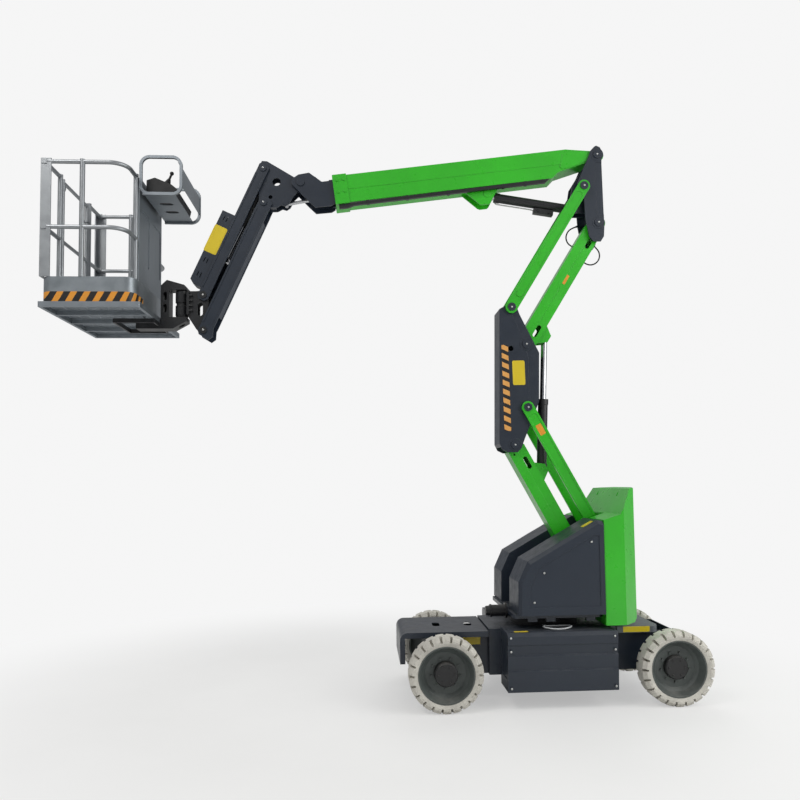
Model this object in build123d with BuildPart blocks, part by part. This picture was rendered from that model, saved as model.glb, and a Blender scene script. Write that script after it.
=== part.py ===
"""Articulating boom lift: electric four-wheel chassis, turret, two-stage riser, telescopic boom, jib, basket.

Origin: on the floor under the centre of the machine's overall length, +X towards the basket,
+Y to the machine's left, +Z up. All sizes are millimetres, all angles degrees.
"""
import os
from math import cos, pi, radians, sin, tan

from build123d import *

os.makedirs("parts", exist_ok=True)

# ---------------------------------------------------------------- driving dimensions
CLEAR = 0.3              # gap between pieces that seat on each other
RUNNING = 0.5            # radial gap of a pin in an arm's bore
MOVING_GAP = 6           # side gap between pieces that move past each other

WHEELBASE = 1760
WIDTH_OVER_TYRES = 1240
TYRE_R = 280
TYRE_W = 178
RIM_R = 214
HUB_R = 88
WHEEL_Y = WIDTH_OVER_TYRES / 2 - TYRE_W / 2
DISC_IN = 26             # inner face of a rim's disc from the wheel's middle
WHEEL_BOLTS = 9
WHEEL_BOLT_R = 8
BOLT_RING_R = 112
LUG_COUNT = 22           # tread blocks on each shoulder of a tyre
GROOVE_W = 20            # groove between two blocks
GROOVE_LEN = 62
KINGPIN_Y = 420

FRAME_HALF_W = 240       # chassis box between the wheels
FRAME_HALF_LEN = 1000
FRAME_WALL = 10
FRAME_RIBS = (-520, 520, 800)
SEAT_T = 20              # plate under the slewing ring
FRAME_BOTTOM = 200
FRAME_TOP = 500
DECK_TOP = 555           # rear deck and the seat of the slewing ring
COVER_HALF_W = 330       # front cover
COVER_TOP = 543
COVER_T = 6
DECK_HALF_W = 310
RING_BOLTS = 16
BATTERY_BOLTS = ((-395, 540), (-395, 440), (-395, 170), (395, 540), (395, 440), (395, 170))
TIE_EYE_Y = 170          # tie-down eyes in the chassis's end plates
TIE_EYE_Z = 246
TIE_EYE_R = 36
TIE_EYE_BOSS = 8
TIE_HOLE_R = 17
BATTERY_LEN = 839
BATTERY_BOTTOM = 137
BATTERY_TOP = 575
BATTERY_OUT = 600        # outer face of a battery box from the middle
BATTERY_IN = 300

RING_R = 270
TURRET_Z = 660           # underside of the turret base plate
TURRET_PLATE = 30
TURRET_FRONT = 345
HOOD_OUT = 550

BOOM_HALF_W = 100
UPRIGHT_IN = BOOM_HALF_W + 8                    # inner face of an upright's side plates
UPRIGHT_T = 12
LINK_IN = UPRIGHT_IN + UPRIGHT_T + MOVING_GAP   # inner face of a link bar
LINK_T = 22
LINK_H = 100
RISER_HALF_W = UPRIGHT_IN - 20
HOOD_IN = LINK_IN + LINK_T + 27                 # inner face of a hood, beside the riser slot
RISER_H = 150
PIN_R = 25
RISER_CYL_R = 45
BOOM_CYL_R = 42
LEVEL_CYL_R = 26
JIB_CYL_R = 30
CYL_PIN_R = 16           # pin at a cylinder's base
LUG_T = 12
RISER_WALL = 8
CHANNEL_STEP = 4         # the outer channel of a riser stands this much over the inner one
BEND_DEPTH = 4           # how far an upright's rear margin is set in
LINK_TIE = 130           # cross tube of a pair of links, from their lower pins
LINK_TIE_R = 26

ARM_LEN = 1216           # pin to pin, both risers and their links
LOWER_ANGLE = 61.5
UPPER_ANGLE = 121.6
BOOM_ANGLE = -7.5
JIB_ANGLE = -65.6
JIB_LEN = 1176
JIB_PIN_R = 20
JIB_IN = 62              # inner face of the side plates of the jib's box and link
JIB_T = 10

BOOM_TOP = 82            # boom section, measured from the line through the boom pin
BOOM_BOTTOM = -150
BOOM_LEN = 2250
BOOM_CREASE = -40        # the boom's upper channel laps over the lower one down to here
BOOM_FOLD = 3
COLLAR_LEN = 118         # wear-pad collar at the boom's mouth
COLLAR_BOLTS = ((2160, 40), (2215, 40), (2160, -60), (2215, -60))
TRAY_CLIPS = (640, 830, 1300, 1650, 1980)
FLY_HALF_W = BOOM_HALF_W - 18
FLY_START = 700
PAD_GAP = 12.7           # thickness of the wear pads between the booms
BOOM_ROD_R = 24
COVER_SLOTS = (520, 905, 1035)

BASKET_W = 1200
BASKET_DEPTH = 740
BASKET_H = 1120
TUBE_R = 16              # basket rails
POST_R = 19              # basket posts
GRATE_PITCH_X = 84       # holes of the basket's floor
GRATE_PITCH_Y = 26
GRATE_COLUMNS = 8
GRATE_ROWS = 9
HOSE_Y = -UPRIGHT_IN + 6.5   # hoses of the riser's head, between its side and the upright's plate
HOSE_D = 12
GLAND_LEN = 20
CONSOLE_KNOBS = ((-190, 20, 14), (-130, 9, 14), (-95, 9, 14), (-60, 9, 14), (-10, 12, 16), (40, 9, 14))


# ---------------------------------------------------------------- frames and pins
def along(length, angle):
    """Offset of that length in the machine's middle plane, tilted up from +X by angle."""
    return Vector(length * cos(radians(angle)), 0, length * sin(radians(angle)))


def across(point, angle=0.0, y=0.0):
    """Plane that faces the machine's right side, its x axis tilted up from +X by angle."""
    return Plane(
        origin=(point.X, y, point.Z),
        x_dir=(cos(radians(angle)), 0, sin(radians(angle))),
        z_dir=(0, -1, 0),
    )


def in_arm(pin, angle, u, v):
    """Point u along an arm from its pin and v to the arm's upper side."""
    return pin + along(u, angle) + along(v, angle + 90)


# offsets between pins, then the chain of pins from the slewing axis out to the basket
LOWER_PIN_OFFSET = Vector(-347, 0, 939)
LOWER_LINK_OFFSET = Vector(-108, 0, 307)
MID_UPPER_OFFSET = Vector(-112, 0, 837)
UPPER_LINK_OFFSET = Vector(123, 0, 305)
BOOM_PIN_OFFSET = Vector(-3, 0, 588)
LEVEL_PIN_UV = (2515, 72)
JIB_PIN_OFFSET = Vector(306, 0, -170)
JIB_LINK_OFFSET = Vector(4, 0, 291)
ROTATOR_OFFSET = Vector(188, 0, 0)
ROTATOR_TO_BASKET = 165

REAR_REACH = WHEELBASE / 2 + TYRE_R
FRONT_REACH = (
    LOWER_PIN_OFFSET
    + along(ARM_LEN, LOWER_ANGLE)
    + MID_UPPER_OFFSET
    + along(ARM_LEN, UPPER_ANGLE)
    + BOOM_PIN_OFFSET
    + along(LEVEL_PIN_UV[0], BOOM_ANGLE)
    + along(LEVEL_PIN_UV[1], BOOM_ANGLE + 90)
    + JIB_PIN_OFFSET
    + along(JIB_LEN, JIB_ANGLE)
    + ROTATOR_OFFSET
).X + ROTATOR_TO_BASKET + BASKET_DEPTH

SLEW = Vector((REAR_REACH - FRONT_REACH) / 2, 0, 0)
FRONT_AXLE = SLEW + Vector(WHEELBASE / 2, 0, TYRE_R)
REAR_AXLE = SLEW + Vector(-WHEELBASE / 2, 0, TYRE_R)

LOWER_PIN = SLEW + LOWER_PIN_OFFSET
LOWER_LINK_PIN = LOWER_PIN + LOWER_LINK_OFFSET
MID_PIN = LOWER_PIN + along(ARM_LEN, LOWER_ANGLE)
MID_LINK_PIN = MID_PIN + LOWER_LINK_OFFSET
MID_UPPER_PIN = MID_PIN + MID_UPPER_OFFSET
MID_UPPER_LINK_PIN = MID_UPPER_PIN + UPPER_LINK_OFFSET
TOP_PIN = MID_UPPER_PIN + along(ARM_LEN, UPPER_ANGLE)
TOP_LINK_PIN = TOP_PIN + UPPER_LINK_OFFSET
BOOM_PIN = TOP_PIN + BOOM_PIN_OFFSET
LEVEL_PIN = in_arm(BOOM_PIN, BOOM_ANGLE, *LEVEL_PIN_UV)
JIB_PIN = LEVEL_PIN + JIB_PIN_OFFSET
JIB_LINK_PIN = JIB_PIN + JIB_LINK_OFFSET
PLATFORM_PIN = JIB_PIN + along(JIB_LEN, JIB_ANGLE)
PLATFORM_LINK_PIN = PLATFORM_PIN + JIB_LINK_OFFSET
ROTATOR = PLATFORM_PIN + ROTATOR_OFFSET

# cylinder pins
RISER_CYL_BASE = in_arm(MID_PIN, LOWER_ANGLE, -293, 118)
RISER_CYL_EYE = in_arm(MID_UPPER_PIN, UPPER_ANGLE, 153, 116)
BOOM_CYL_BASE = BOOM_PIN + Vector(173, 0, -442)
BOOM_CYL_EYE = in_arm(BOOM_PIN, BOOM_ANGLE, 971, -205)
LEVEL_EYE = LEVEL_PIN + Vector(125, 0, -162)
LEVEL_BASE = in_arm(BOOM_PIN, BOOM_ANGLE, 1960, -30)
JIB_CYL_BASE = JIB_PIN + Vector(0, 0, 180)
JIB_CYL_EYE = in_arm(JIB_PIN, JIB_ANGLE, 560, 92)


def pin_bar(pin, radius, length, y=0.0, mode=Mode.ADD):
    """Round bar across the machine, centred on the pin at y, in the part being built."""
    with Locations(across(pin, 0, y)):
        Cylinder(radius, length, mode=mode)


def headed_pin(pin, radius, half_length):
    """Cross pin with a retaining head at each end, in the part being built."""
    pin_bar(pin, radius, 2 * half_length)
    for side in (1, -1):
        pin_bar(pin, radius + 9, 6, side * (half_length + 3))


def side_plates(outline_plane, outline, inner, thickness):
    """Pair of plates of one outline, inner mm from the middle plane, in the part being built."""
    for side in (1, -1):
        with BuildSketch(outline_plane.offset(-side * (inner + thickness / 2))) as plate:
            Polygon(*outline, align=None)
        extrude(plate.sketch, amount=thickness / 2, both=True)


def make_hose(pin, route, y, diameter, name):
    """Hose along runs joined by tangent arcs, its points given from a pin in the plane at y."""
    points = [Vector(pin.X + x, y, pin.Z + z) for x, z in route]
    runs = [b - a for a, b in zip(points, points[1:])]
    radii = []
    for before, after in zip(runs, runs[1:]):
        half_turn = radians(before.get_angle(after) / 2)
        radii.append(0.45 * min(before.length, after.length) / tan(half_turn))
    with BuildPart() as hose:
        with BuildLine() as path:
            FilletPolyline(*points, radius=radii)
        with BuildSketch(Plane(origin=points[0], z_dir=runs[0])) as tube:
            Circle(diameter / 2)
        sweep(sections=tube.sketch, path=path.wires()[0])
    length = path.wires()[0].length
    share = hose.part.volume / (length * pi * diameter ** 2 / 4)
    print(f"{name}: length {length:.0f}, tightest bend {min(radii):.0f}, volume share {share:.4f}")
    save(hose, name)


def hose_gland(pin, end, towards, y, diameter):
    """Fitting that one end of a hose butts against, in the part being built."""
    tip = Vector(pin.X + end[0], y, pin.Z + end[1])
    back = (tip - Vector(pin.X + towards[0], y, pin.Z + towards[1])).normalized()
    with Locations(Plane(origin=tip, z_dir=back)):
        Cylinder(diameter / 2 + 2.5, GLAND_LEN, align=(Align.CENTER, Align.CENTER, Align.MIN))


def save(builder, name):
    """Label the finished piece and write its file."""
    builder.part.label = name
    export_step(builder.part, f"parts/{name}.step")


# ---------------------------------------------------------------- chassis
AXLE_BEAM_H = 100
YOKE_GAP = 54            # between the two ears that hold a kingpin
KINGPIN_R = 18
with BuildPart() as chassis_frame:
    with Locations((SLEW.X, 0, (FRAME_BOTTOM + FRAME_TOP) / 2)):
        Box(2 * FRAME_HALF_LEN, 2 * FRAME_HALF_W, FRAME_TOP - FRAME_BOTTOM)
        Box(2 * FRAME_HALF_LEN - 2 * FRAME_WALL, 2 * (FRAME_HALF_W - FRAME_WALL), 400, mode=Mode.SUBTRACT)
    for x in FRAME_RIBS:
        with Locations((SLEW.X + x, 0, (FRAME_BOTTOM + FRAME_TOP) / 2)):
            Box(FRAME_WALL, 2 * FRAME_HALF_W, FRAME_TOP - FRAME_BOTTOM)
    with Locations((SLEW.X, 0, DECK_TOP - SEAT_T / 2)):
        Box(BATTERY_LEN + 180, 2 * (BATTERY_IN - CLEAR), SEAT_T)
        Cylinder(RING_R - 70, 3 * SEAT_T, mode=Mode.SUBTRACT)
    for side in (1, -1):
        with Locations((SLEW.X, side * (BATTERY_IN - CLEAR - FRAME_WALL / 2), (FRAME_BOTTOM + DECK_TOP) / 2)):
            Box(BATTERY_LEN + 180, FRAME_WALL, DECK_TOP - FRAME_BOTTOM)
        for x in (-1, 1):
            with Locations((
                SLEW.X + x * (BATTERY_LEN / 2 + 90 - FRAME_WALL / 2),
                side * (FRAME_HALF_W + BATTERY_IN - CLEAR) / 2,
                (FRAME_BOTTOM + DECK_TOP) / 2,
            )):
                Box(FRAME_WALL, BATTERY_IN - CLEAR - FRAME_HALF_W, DECK_TOP - FRAME_BOTTOM)
    with BuildSketch(Plane.YZ.offset(FRONT_AXLE.X)):
        with Locations((0, TYRE_R)):
            Rectangle(2 * (KINGPIN_Y - 72), AXLE_BEAM_H)
            Rectangle(2 * (KINGPIN_Y - 90), AXLE_BEAM_H - 2 * FRAME_WALL, mode=Mode.SUBTRACT)
    extrude(amount=48, both=True)
    for side in (1, -1):
        for level in (1, -1):
            with BuildSketch(Plane.XY.offset(TYRE_R + level * (YOKE_GAP / 2 + 9))):
                with Locations((FRONT_AXLE.X, side * KINGPIN_Y)):
                    Circle(34)
                with Locations((FRONT_AXLE.X, side * (KINGPIN_Y - 40))):
                    Rectangle(68, 80)
            extrude(amount=9, both=True)
        with Locations((FRONT_AXLE.X, side * KINGPIN_Y, TYRE_R)):
            Box(72, 142, YOKE_GAP, mode=Mode.SUBTRACT)
            Cylinder(KINGPIN_R + RUNNING, 200, mode=Mode.SUBTRACT)
        for end in (-1, 1):
            eye = Plane(
                origin=(SLEW.X + end * (FRAME_HALF_LEN - FRAME_WALL), side * TIE_EYE_Y, TIE_EYE_Z), z_dir=(end, 0, 0)
            )
            with Locations(eye):
                Cylinder(TIE_EYE_R, FRAME_WALL + TIE_EYE_BOSS, align=(Align.CENTER, Align.CENTER, Align.MIN))
                Cylinder(TIE_HOLE_R, 200, mode=Mode.SUBTRACT)
save(chassis_frame, "chassis_frame")

with BuildPart() as front_cover:
    with BuildSketch(across(SLEW)) as cover_side:
        with BuildLine():
            Polyline((516, FRAME_TOP + CLEAR), (516, COVER_TOP), (1150, COVER_TOP))
            TangentArc((1150, COVER_TOP), (1210, COVER_TOP - 60), tangent=(1, 0))
            Polyline((1210, COVER_TOP - 60), (1210, 306), (1170, 306), (1170, FRAME_TOP + CLEAR), (516, FRAME_TOP + CLEAR))
        make_face()
    extrude(amount=COVER_HALF_W, both=True)
    with BuildSketch(across(SLEW)):
        with BuildLine():
            Polyline((516 + COVER_T, FRAME_TOP - 20), (516 + COVER_T, COVER_TOP - COVER_T), (1150, COVER_TOP - COVER_T))
            Polyline((1150, COVER_TOP - COVER_T), (1210 - COVER_T, COVER_TOP - 60), (1210 - COVER_T, 280))
            Polyline((1210 - COVER_T, 280), (1160, 280), (1160, FRAME_TOP - 20), (516 + COVER_T, FRAME_TOP - 20))
        make_face()
    extrude(amount=COVER_HALF_W - COVER_T, both=True, mode=Mode.SUBTRACT)
    for x in (640, 900):
        with BuildSketch(Plane.XY.offset(COVER_TOP - COVER_T - 2)):
            with Locations((SLEW.X + x, 0)):
                SlotOverall(150, 60, rotation=90)
        extrude(amount=10, mode=Mode.SUBTRACT)
save(front_cover, "front_cover")

with BuildPart() as rear_deck:
    with BuildSketch(Plane.XY.offset(FRAME_TOP + CLEAR)):
        with Locations((SLEW.X - 680, 0)):
            Rectangle(340, 2 * DECK_HALF_W)
    extrude(amount=DECK_TOP - FRAME_TOP - 2 * CLEAR)
    fillet(rear_deck.edges().filter_by(Axis.Z).group_by(Axis.X)[0], 60)
    fillet(rear_deck.faces().sort_by(Axis.Z)[-1].edges().sort_by(Axis.X)[:-1], 8)
    with BuildSketch(Plane.XY.offset(FRAME_TOP)):
        with Locations((SLEW.X - 680, 0)):
            Rectangle(340 - 60, 2 * DECK_HALF_W - 60)
    extrude(amount=DECK_TOP - FRAME_TOP - COVER_T, mode=Mode.SUBTRACT)
save(rear_deck, "rear_deck")

# battery box section: a folded sheet whose side steps out at each ridge, (out from the middle, height)
BATTERY_SECTION = (
    (BATTERY_IN, BATTERY_BOTTOM), (BATTERY_OUT - 14, BATTERY_BOTTOM), (BATTERY_OUT - 4, 292), (BATTERY_OUT - 16, 300),
    (BATTERY_OUT - 6, 402), (BATTERY_OUT - 18, 412), (BATTERY_OUT - 8, 478), (BATTERY_OUT, 490), (BATTERY_OUT, 548),
    (BATTERY_OUT - 22, BATTERY_TOP), (BATTERY_IN, BATTERY_TOP),
)
for name, side in (("left", 1), ("right", -1)):
    with BuildPart() as battery_box:
        with BuildSketch(Plane.YZ.offset(SLEW.X)):
            Polygon(*[(side * y, z) for y, z in BATTERY_SECTION], align=None)
        extrude(amount=BATTERY_LEN / 2, both=True)
        with BuildSketch(Plane.XY.offset(BATTERY_TOP)):
            with Locations((SLEW.X, side * (BATTERY_IN + BATTERY_OUT) / 2 - side * 12)):
                RectangleRounded(BATTERY_LEN - 60, BATTERY_OUT - BATTERY_IN - 50, 12)
        extrude(amount=4)
        for x in (-1, 1):
            with BuildSketch(Plane.YZ.offset(SLEW.X + x * BATTERY_LEN / 2)):
                with Locations((side * (BATTERY_IN + BATTERY_OUT) / 2, (BATTERY_BOTTOM + BATTERY_TOP) / 2)):
                    RectangleRounded(BATTERY_OUT - BATTERY_IN - 80, 260, 20)
            extrude(amount=-x * 5, mode=Mode.SUBTRACT)
        for x, z in BATTERY_BOLTS:
            with Locations((SLEW.X + x, side * (BATTERY_OUT - 8), z)):
                Cylinder(8, 20, rotation=(90, 0, 0))
    save(battery_box, f"battery_box_{name}")

with BuildPart() as slew_ring:
    with BuildSketch(Plane.XY.offset(DECK_TOP + CLEAR)):
        with Locations((SLEW.X, 0)):
            Circle(RING_R)
            Circle(RING_R - 80, mode=Mode.SUBTRACT)
            with PolarLocations(RING_R - 22, RING_BOLTS):
                Circle(7, mode=Mode.SUBTRACT)
    extrude(amount=44)
    with BuildSketch(Plane.XY.offset(DECK_TOP + CLEAR + 44)):
        with Locations((SLEW.X, 0)):
            Circle(RING_R - 12)
            Circle(RING_R - 80, mode=Mode.SUBTRACT)
    extrude(amount=12)
    with BuildSketch(Plane.XY.offset(DECK_TOP + CLEAR + 56)):
        with Locations((SLEW.X, 0)):
            Circle(RING_R - 40)
            Circle(RING_R - 80, mode=Mode.SUBTRACT)
    extrude(amount=TURRET_Z - DECK_TOP - 56 - 2 * CLEAR)
save(slew_ring, "slew_ring")

STUB_LEN = WHEEL_Y - DISC_IN - CLEAR - KINGPIN_Y
for name, side in (("left", 1), ("right", -1)):
    kingpin = Vector(FRONT_AXLE.X, side * KINGPIN_Y, TYRE_R)
    with BuildPart() as knuckle:
        with Locations(kingpin):
            Cylinder(28, YOKE_GAP - 2 * RUNNING)
            Cylinder(KINGPIN_R, YOKE_GAP + 56)
        with Locations(kingpin + Vector(0, side * STUB_LEN / 2, 0)):
            Cylinder(24, STUB_LEN, rotation=(90, 0, 0))
        with Locations(kingpin + Vector(0, side * (STUB_LEN - 7), 0)):
            Cylinder(52, 14, rotation=(90, 0, 0))
        with BuildSketch(Plane.XY.offset(TYRE_R - YOKE_GAP / 2 + 6)):
            with Locations(kingpin + Vector(-70, side * 6, 0)):
                SlotOverall(140, 36)
            with Locations(kingpin + Vector(-122, side * 6, 0)):
                Circle(8, mode=Mode.SUBTRACT)
        extrude(amount=12)
    save(knuckle, f"steering_knuckle_{name}")

DRIVE_IN = FRAME_HALF_W + CLEAR
DRIVE_OUT = WHEEL_Y - DISC_IN - CLEAR
with BuildPart() as drive_units:
    for side in (1, -1):
        with BuildSketch(Plane(origin=(REAR_AXLE.X, 0, TYRE_R), x_dir=(0, side, 0), z_dir=(side, 0, 0))):
            Polygon(
                (DRIVE_IN, 0), (DRIVE_IN, 86), (DRIVE_IN + 14, 86), (DRIVE_IN + 14, 62), (DRIVE_IN + 130, 62),
                (DRIVE_IN + 140, 80), (DRIVE_IN + 200, 80), (DRIVE_IN + 212, 60), (DRIVE_OUT, 60), (DRIVE_OUT, 0),
                align=None,
            )
        revolve(axis=Axis((REAR_AXLE.X, 0, TYRE_R), (0, side, 0)))
        for turn in range(0, 360, 60):
            with Locations(Plane(origin=(REAR_AXLE.X, side * (DRIVE_IN + 72), TYRE_R), z_dir=(0, side, 0))):
                with PolarLocations(64, 6, start_angle=30):
                    Cylinder(7, 110)
            break
save(drive_units, "drive_units")

# ---------------------------------------------------------------- wheels
WHEELS = (  # name, axle, side, hub nose past the disc
    ("front_left", FRONT_AXLE, 1, 60),
    ("front_right", FRONT_AXLE, -1, 60),
    ("rear_left", REAR_AXLE, 1, 34),
    ("rear_right", REAR_AXLE, -1, 34),
)
for name, axle, side, nose in WHEELS:
    centre = Vector(axle.X, side * WHEEL_Y, axle.Z)
    radial = Plane(origin=centre, x_dir=(0, side, 0), z_dir=(side, 0, 0))
    spin = Axis(centre, (0, side, 0))
    half = TYRE_W / 2
    with BuildPart() as tyre:
        with BuildSketch(radial):
            with BuildLine():
                Polyline((-half + 10, RIM_R), (-half, RIM_R + 24), (-half, TYRE_R - 26), (-half + 26, TYRE_R))
                Polyline((-half + 26, TYRE_R), (half - 26, TYRE_R), (half, TYRE_R - 26), (half, RIM_R + 24))
                Polyline((half, RIM_R + 24), (half - 10, RIM_R), (-half + 10, RIM_R))
            make_face()
        revolve(axis=spin)
        for y_side in (1, -1):
            with BuildSketch(Plane(origin=centre, x_dir=(1, 0, 0), z_dir=(0, 1, 0)).offset(y_side * half)):
                with PolarLocations(0, LUG_COUNT, start_angle=0 if y_side > 0 else 180 / LUG_COUNT):
                    Polygon(
                        (TYRE_R - 40, -GROOVE_W / 3), (TYRE_R + 6, -GROOVE_W / 2), (TYRE_R + 6, GROOVE_W / 2),
                        (TYRE_R - 40, GROOVE_W / 3), align=None,
                    )
            extrude(amount=-y_side * GROOVE_LEN, mode=Mode.SUBTRACT)
    save(tyre, f"tyre_{name}")
    with BuildPart() as rim:
        with BuildSketch(radial):
            with BuildLine():
                Polyline((-half + 12, RIM_R - CLEAR), (half - 12, RIM_R - CLEAR), (half - 12, RIM_R - 10))
                Polyline((half - 12, RIM_R - 10), (10, RIM_R - 34), (-14, RIM_R - 60), (-14, HUB_R))
                Polyline((-14, HUB_R), (nose - 8, HUB_R), (nose, HUB_R - 8), (nose, 0), (-DISC_IN, 0))
                Polyline((-DISC_IN, 0), (-DISC_IN, RIM_R - 50), (-34, RIM_R - 34))
                Polyline((-34, RIM_R - 34), (-half + 12, RIM_R - 12), (-half + 12, RIM_R - CLEAR))
            make_face()
        revolve(axis=spin)
        with Locations(Plane(origin=centre + Vector(0, side * (4 - 14), 0), x_dir=(1, 0, 0), z_dir=(0, side, 0))):
            with PolarLocations(BOLT_RING_R, WHEEL_BOLTS, start_angle=10):
                Cylinder(WHEEL_BOLT_R, 22)
        with Locations(Plane(origin=centre + Vector(0, side * nose, 0), x_dir=(1, 0, 0), z_dir=(0, side, 0))):
            with PolarLocations(HUB_R - 26, 6):
                Cylinder(7, 12)
    save(rim, f"rim_{name}")

# ---------------------------------------------------------------- turret
PLATE_TOP = TURRET_Z + TURRET_PLATE
MAST_SIDE = [(-560, PLATE_TOP), (-530, 1290), (-500, 1325), (-430, 1325), (-385, 1230), (-270, 1010), (-120, PLATE_TOP)]
with BuildPart() as turret_base:
    with BuildSketch(Plane.XY.offset(TURRET_Z)):
        with Locations((SLEW.X, 0)):
            RectangleRounded(2 * TURRET_FRONT, 2 * 480, 30)
        with Locations((SLEW.X - 440, 0)):
            Rectangle(300, 2 * (HOOD_IN - CLEAR))
        with Locations((SLEW.X, 0)):
            Circle(70, mode=Mode.SUBTRACT)
    extrude(amount=TURRET_PLATE)
    with BuildSketch(Plane.XY.offset(TURRET_Z)):
        for side in (1, -1):
            with Locations(*[(SLEW.X + x, side * 468) for x in (-250, 60, 200)]):
                Rectangle(70, 24)
    extrude(amount=-26)
    side_plates(across(SLEW), MAST_SIDE, UPRIGHT_IN, UPRIGHT_T)
    with BuildSketch(across(SLEW)):
        Polygon((-552, PLATE_TOP), (-534, 1090), (-522, 1090), (-540, PLATE_TOP), align=None)
        Polygon((-150, PLATE_TOP), (-205, 790), (-193, 790), (-138, PLATE_TOP), align=None)
    extrude(amount=UPRIGHT_IN + 1, both=True)
    headed_pin(LOWER_PIN, PIN_R, UPRIGHT_IN + UPRIGHT_T + 1)
    headed_pin(LOWER_LINK_PIN, PIN_R, LINK_IN + LINK_T + 2)
save(turret_base, "turret_base")

HOOD_BOTTOM = PLATE_TOP + CLEAR
HOOD_BEVEL = 26
HOOD_SIDE = [(320, HOOD_BOTTOM), (315, 941), (242, 1097), (1, 1235), (-306, 1405), (-348, 1395), (-348, HOOD_BOTTOM)]
HOOD_FACE = [(300, HOOD_BOTTOM), (290, 934), (222, 1078), (-10, 1211), (-306, 1376), (-348, 1368), (-348, HOOD_BOTTOM)]
HOOD_PANEL = [(235, 752), (225, 905), (165, 1040), (-25, 1150), (-272, 1291), (-312, 1285), (-312, 752)]
HOOD_SCREWS = ((200, 790), (120, 1010), (-250, 1240))
for name, side in (("left", 1), ("right", -1)):
    with BuildPart() as hood:
        with BuildSketch(across(SLEW, 0, side * (HOOD_IN + HOOD_OUT - HOOD_BEVEL) / 2)):
            Polygon(*HOOD_SIDE, align=None)
        extrude(amount=(HOOD_OUT - HOOD_BEVEL - HOOD_IN) / 2, both=True)
        with BuildSketch(across(SLEW, 0, side * (HOOD_OUT - HOOD_BEVEL))):
            Polygon(*HOOD_SIDE, align=None)
        with BuildSketch(across(SLEW, 0, side * HOOD_OUT)):
            Polygon(*HOOD_FACE, align=None)
        loft(ruled=True)
        with BuildSketch(across(SLEW, 0, side * HOOD_OUT)):
            Polygon(*HOOD_PANEL, align=None)
        extrude(amount=side * 5, mode=Mode.SUBTRACT)
        for x, z in HOOD_SCREWS:
            with Locations((SLEW.X + x, side * (HOOD_OUT - 4), z)):
                Cylinder(9, 8, rotation=(90, 0, 0))
    save(hood, f"hood_{name}")

BALLAST_PLAN = [(-352, 540), (-510, 540), (-640, 400), (-700, 200), (-700, -200), (-640, -400), (-510, -540), (-352, -540)]
with BuildPart() as counterweight:
    with BuildSketch(Plane.XY.offset(605)):
        Polygon(*[(SLEW.X + x, y) for x, y in BALLAST_PLAN], align=None)
    extrude(amount=1080)
    with BuildSketch(across(SLEW)):
        Polygon(
            (-300, 590), (-300, 1700), (-480, 1700), (-480, 1420), (-606, 1330), (-606, 590), align=None,
        )
    extrude(amount=HOOD_IN, both=True, mode=Mode.SUBTRACT)
    with BuildSketch(across(SLEW)):
        Polygon((-300, 1388), (-486, 1445), (-588, 1640), (-720, 1650), (-720, 1800), (-200, 1800), align=None)
        Polygon((-720, 720), (-600, 590), (-720, 590), align=None)
    extrude(amount=700, both=True, mode=Mode.SUBTRACT)
    for side in (1, -1):
        with Locations((SLEW.X - 560, side * 250, 1660)):
            Cylinder(14, 160, mode=Mode.SUBTRACT)
save(counterweight, "counterweight")

DRIVE_Y = 170
with BuildPart() as slew_drive:
    with BuildSketch(Plane(origin=(SLEW.X + TURRET_FRONT + CLEAR, DRIVE_Y, TURRET_Z + 15), x_dir=(1, 0, 0), z_dir=(0, -1, 0))):
        Polygon(
            (0, 0), (0, 62), (14, 62), (14, 45), (120, 45), (120, 50), (134, 50), (134, 40), (168, 36), (168, 0), align=None,
        )
    revolve(axis=Axis((SLEW.X, DRIVE_Y, TURRET_Z + 15), (1, 0, 0)))
save(slew_drive, "slew_drive")


# ---------------------------------------------------------------- risers and links
RISER_SLOTS = ((150, 24), (ARM_LEN - 180, 24))


def make_riser(pin, angle, lug_u, lug_v, holds_pin):
    """Welded box of two channels, the outer one over the inner, with bored ends, slots and cylinder lugs."""
    end_u = ARM_LEN - 30
    with BuildPart() as riser:
        with BuildSketch(across(pin, angle)):
            with Locations(((end_u + 30) / 2, -RISER_H / 4)):
                Rectangle(end_u - 30, RISER_H / 2)
        extrude(amount=RISER_HALF_W, both=True)
        with BuildSketch(across(pin, angle)):
            with Locations(((end_u + 30) / 2, RISER_H / 4)):
                Rectangle(end_u - 30, RISER_H / 2)
        extrude(amount=RISER_HALF_W - CHANNEL_STEP, both=True)
        with BuildSketch(across(pin, angle)):
            with Locations((ARM_LEN / 2, 0)):
                Rectangle(ARM_LEN, RISER_H - 2 * RISER_WALL)
        extrude(amount=RISER_HALF_W - CHANNEL_STEP - RISER_WALL, both=True, mode=Mode.SUBTRACT)
        with BuildSketch(across(pin, angle)):
            with Locations(*RISER_SLOTS):
                SlotOverall(110, 36)
            with Locations((70, -40), (ARM_LEN - 70, -40)):
                Circle(9)
        extrude(amount=RISER_HALF_W + 20, both=True, mode=Mode.SUBTRACT)
        side_plates(
            across(pin, angle),
            ((lug_u - 90, RISER_H / 2 - 4), (lug_u - 30, lug_v + 34), (lug_u + 30, lug_v + 34), (lug_u + 90, RISER_H / 2 - 4)),
            RISER_CYL_R + MOVING_GAP,
            LUG_T,
        )
        if holds_pin:
            pin_bar(in_arm(pin, angle, lug_u, lug_v), CYL_PIN_R, 2 * (RISER_CYL_R + MOVING_GAP + LUG_T + 4))
        for end in (pin, pin + along(ARM_LEN, angle)):
            pin_bar(end, 62, 2 * (UPRIGHT_IN - 1))
            pin_bar(end, PIN_R + RUNNING, 400, mode=Mode.SUBTRACT)
    return riser


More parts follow.
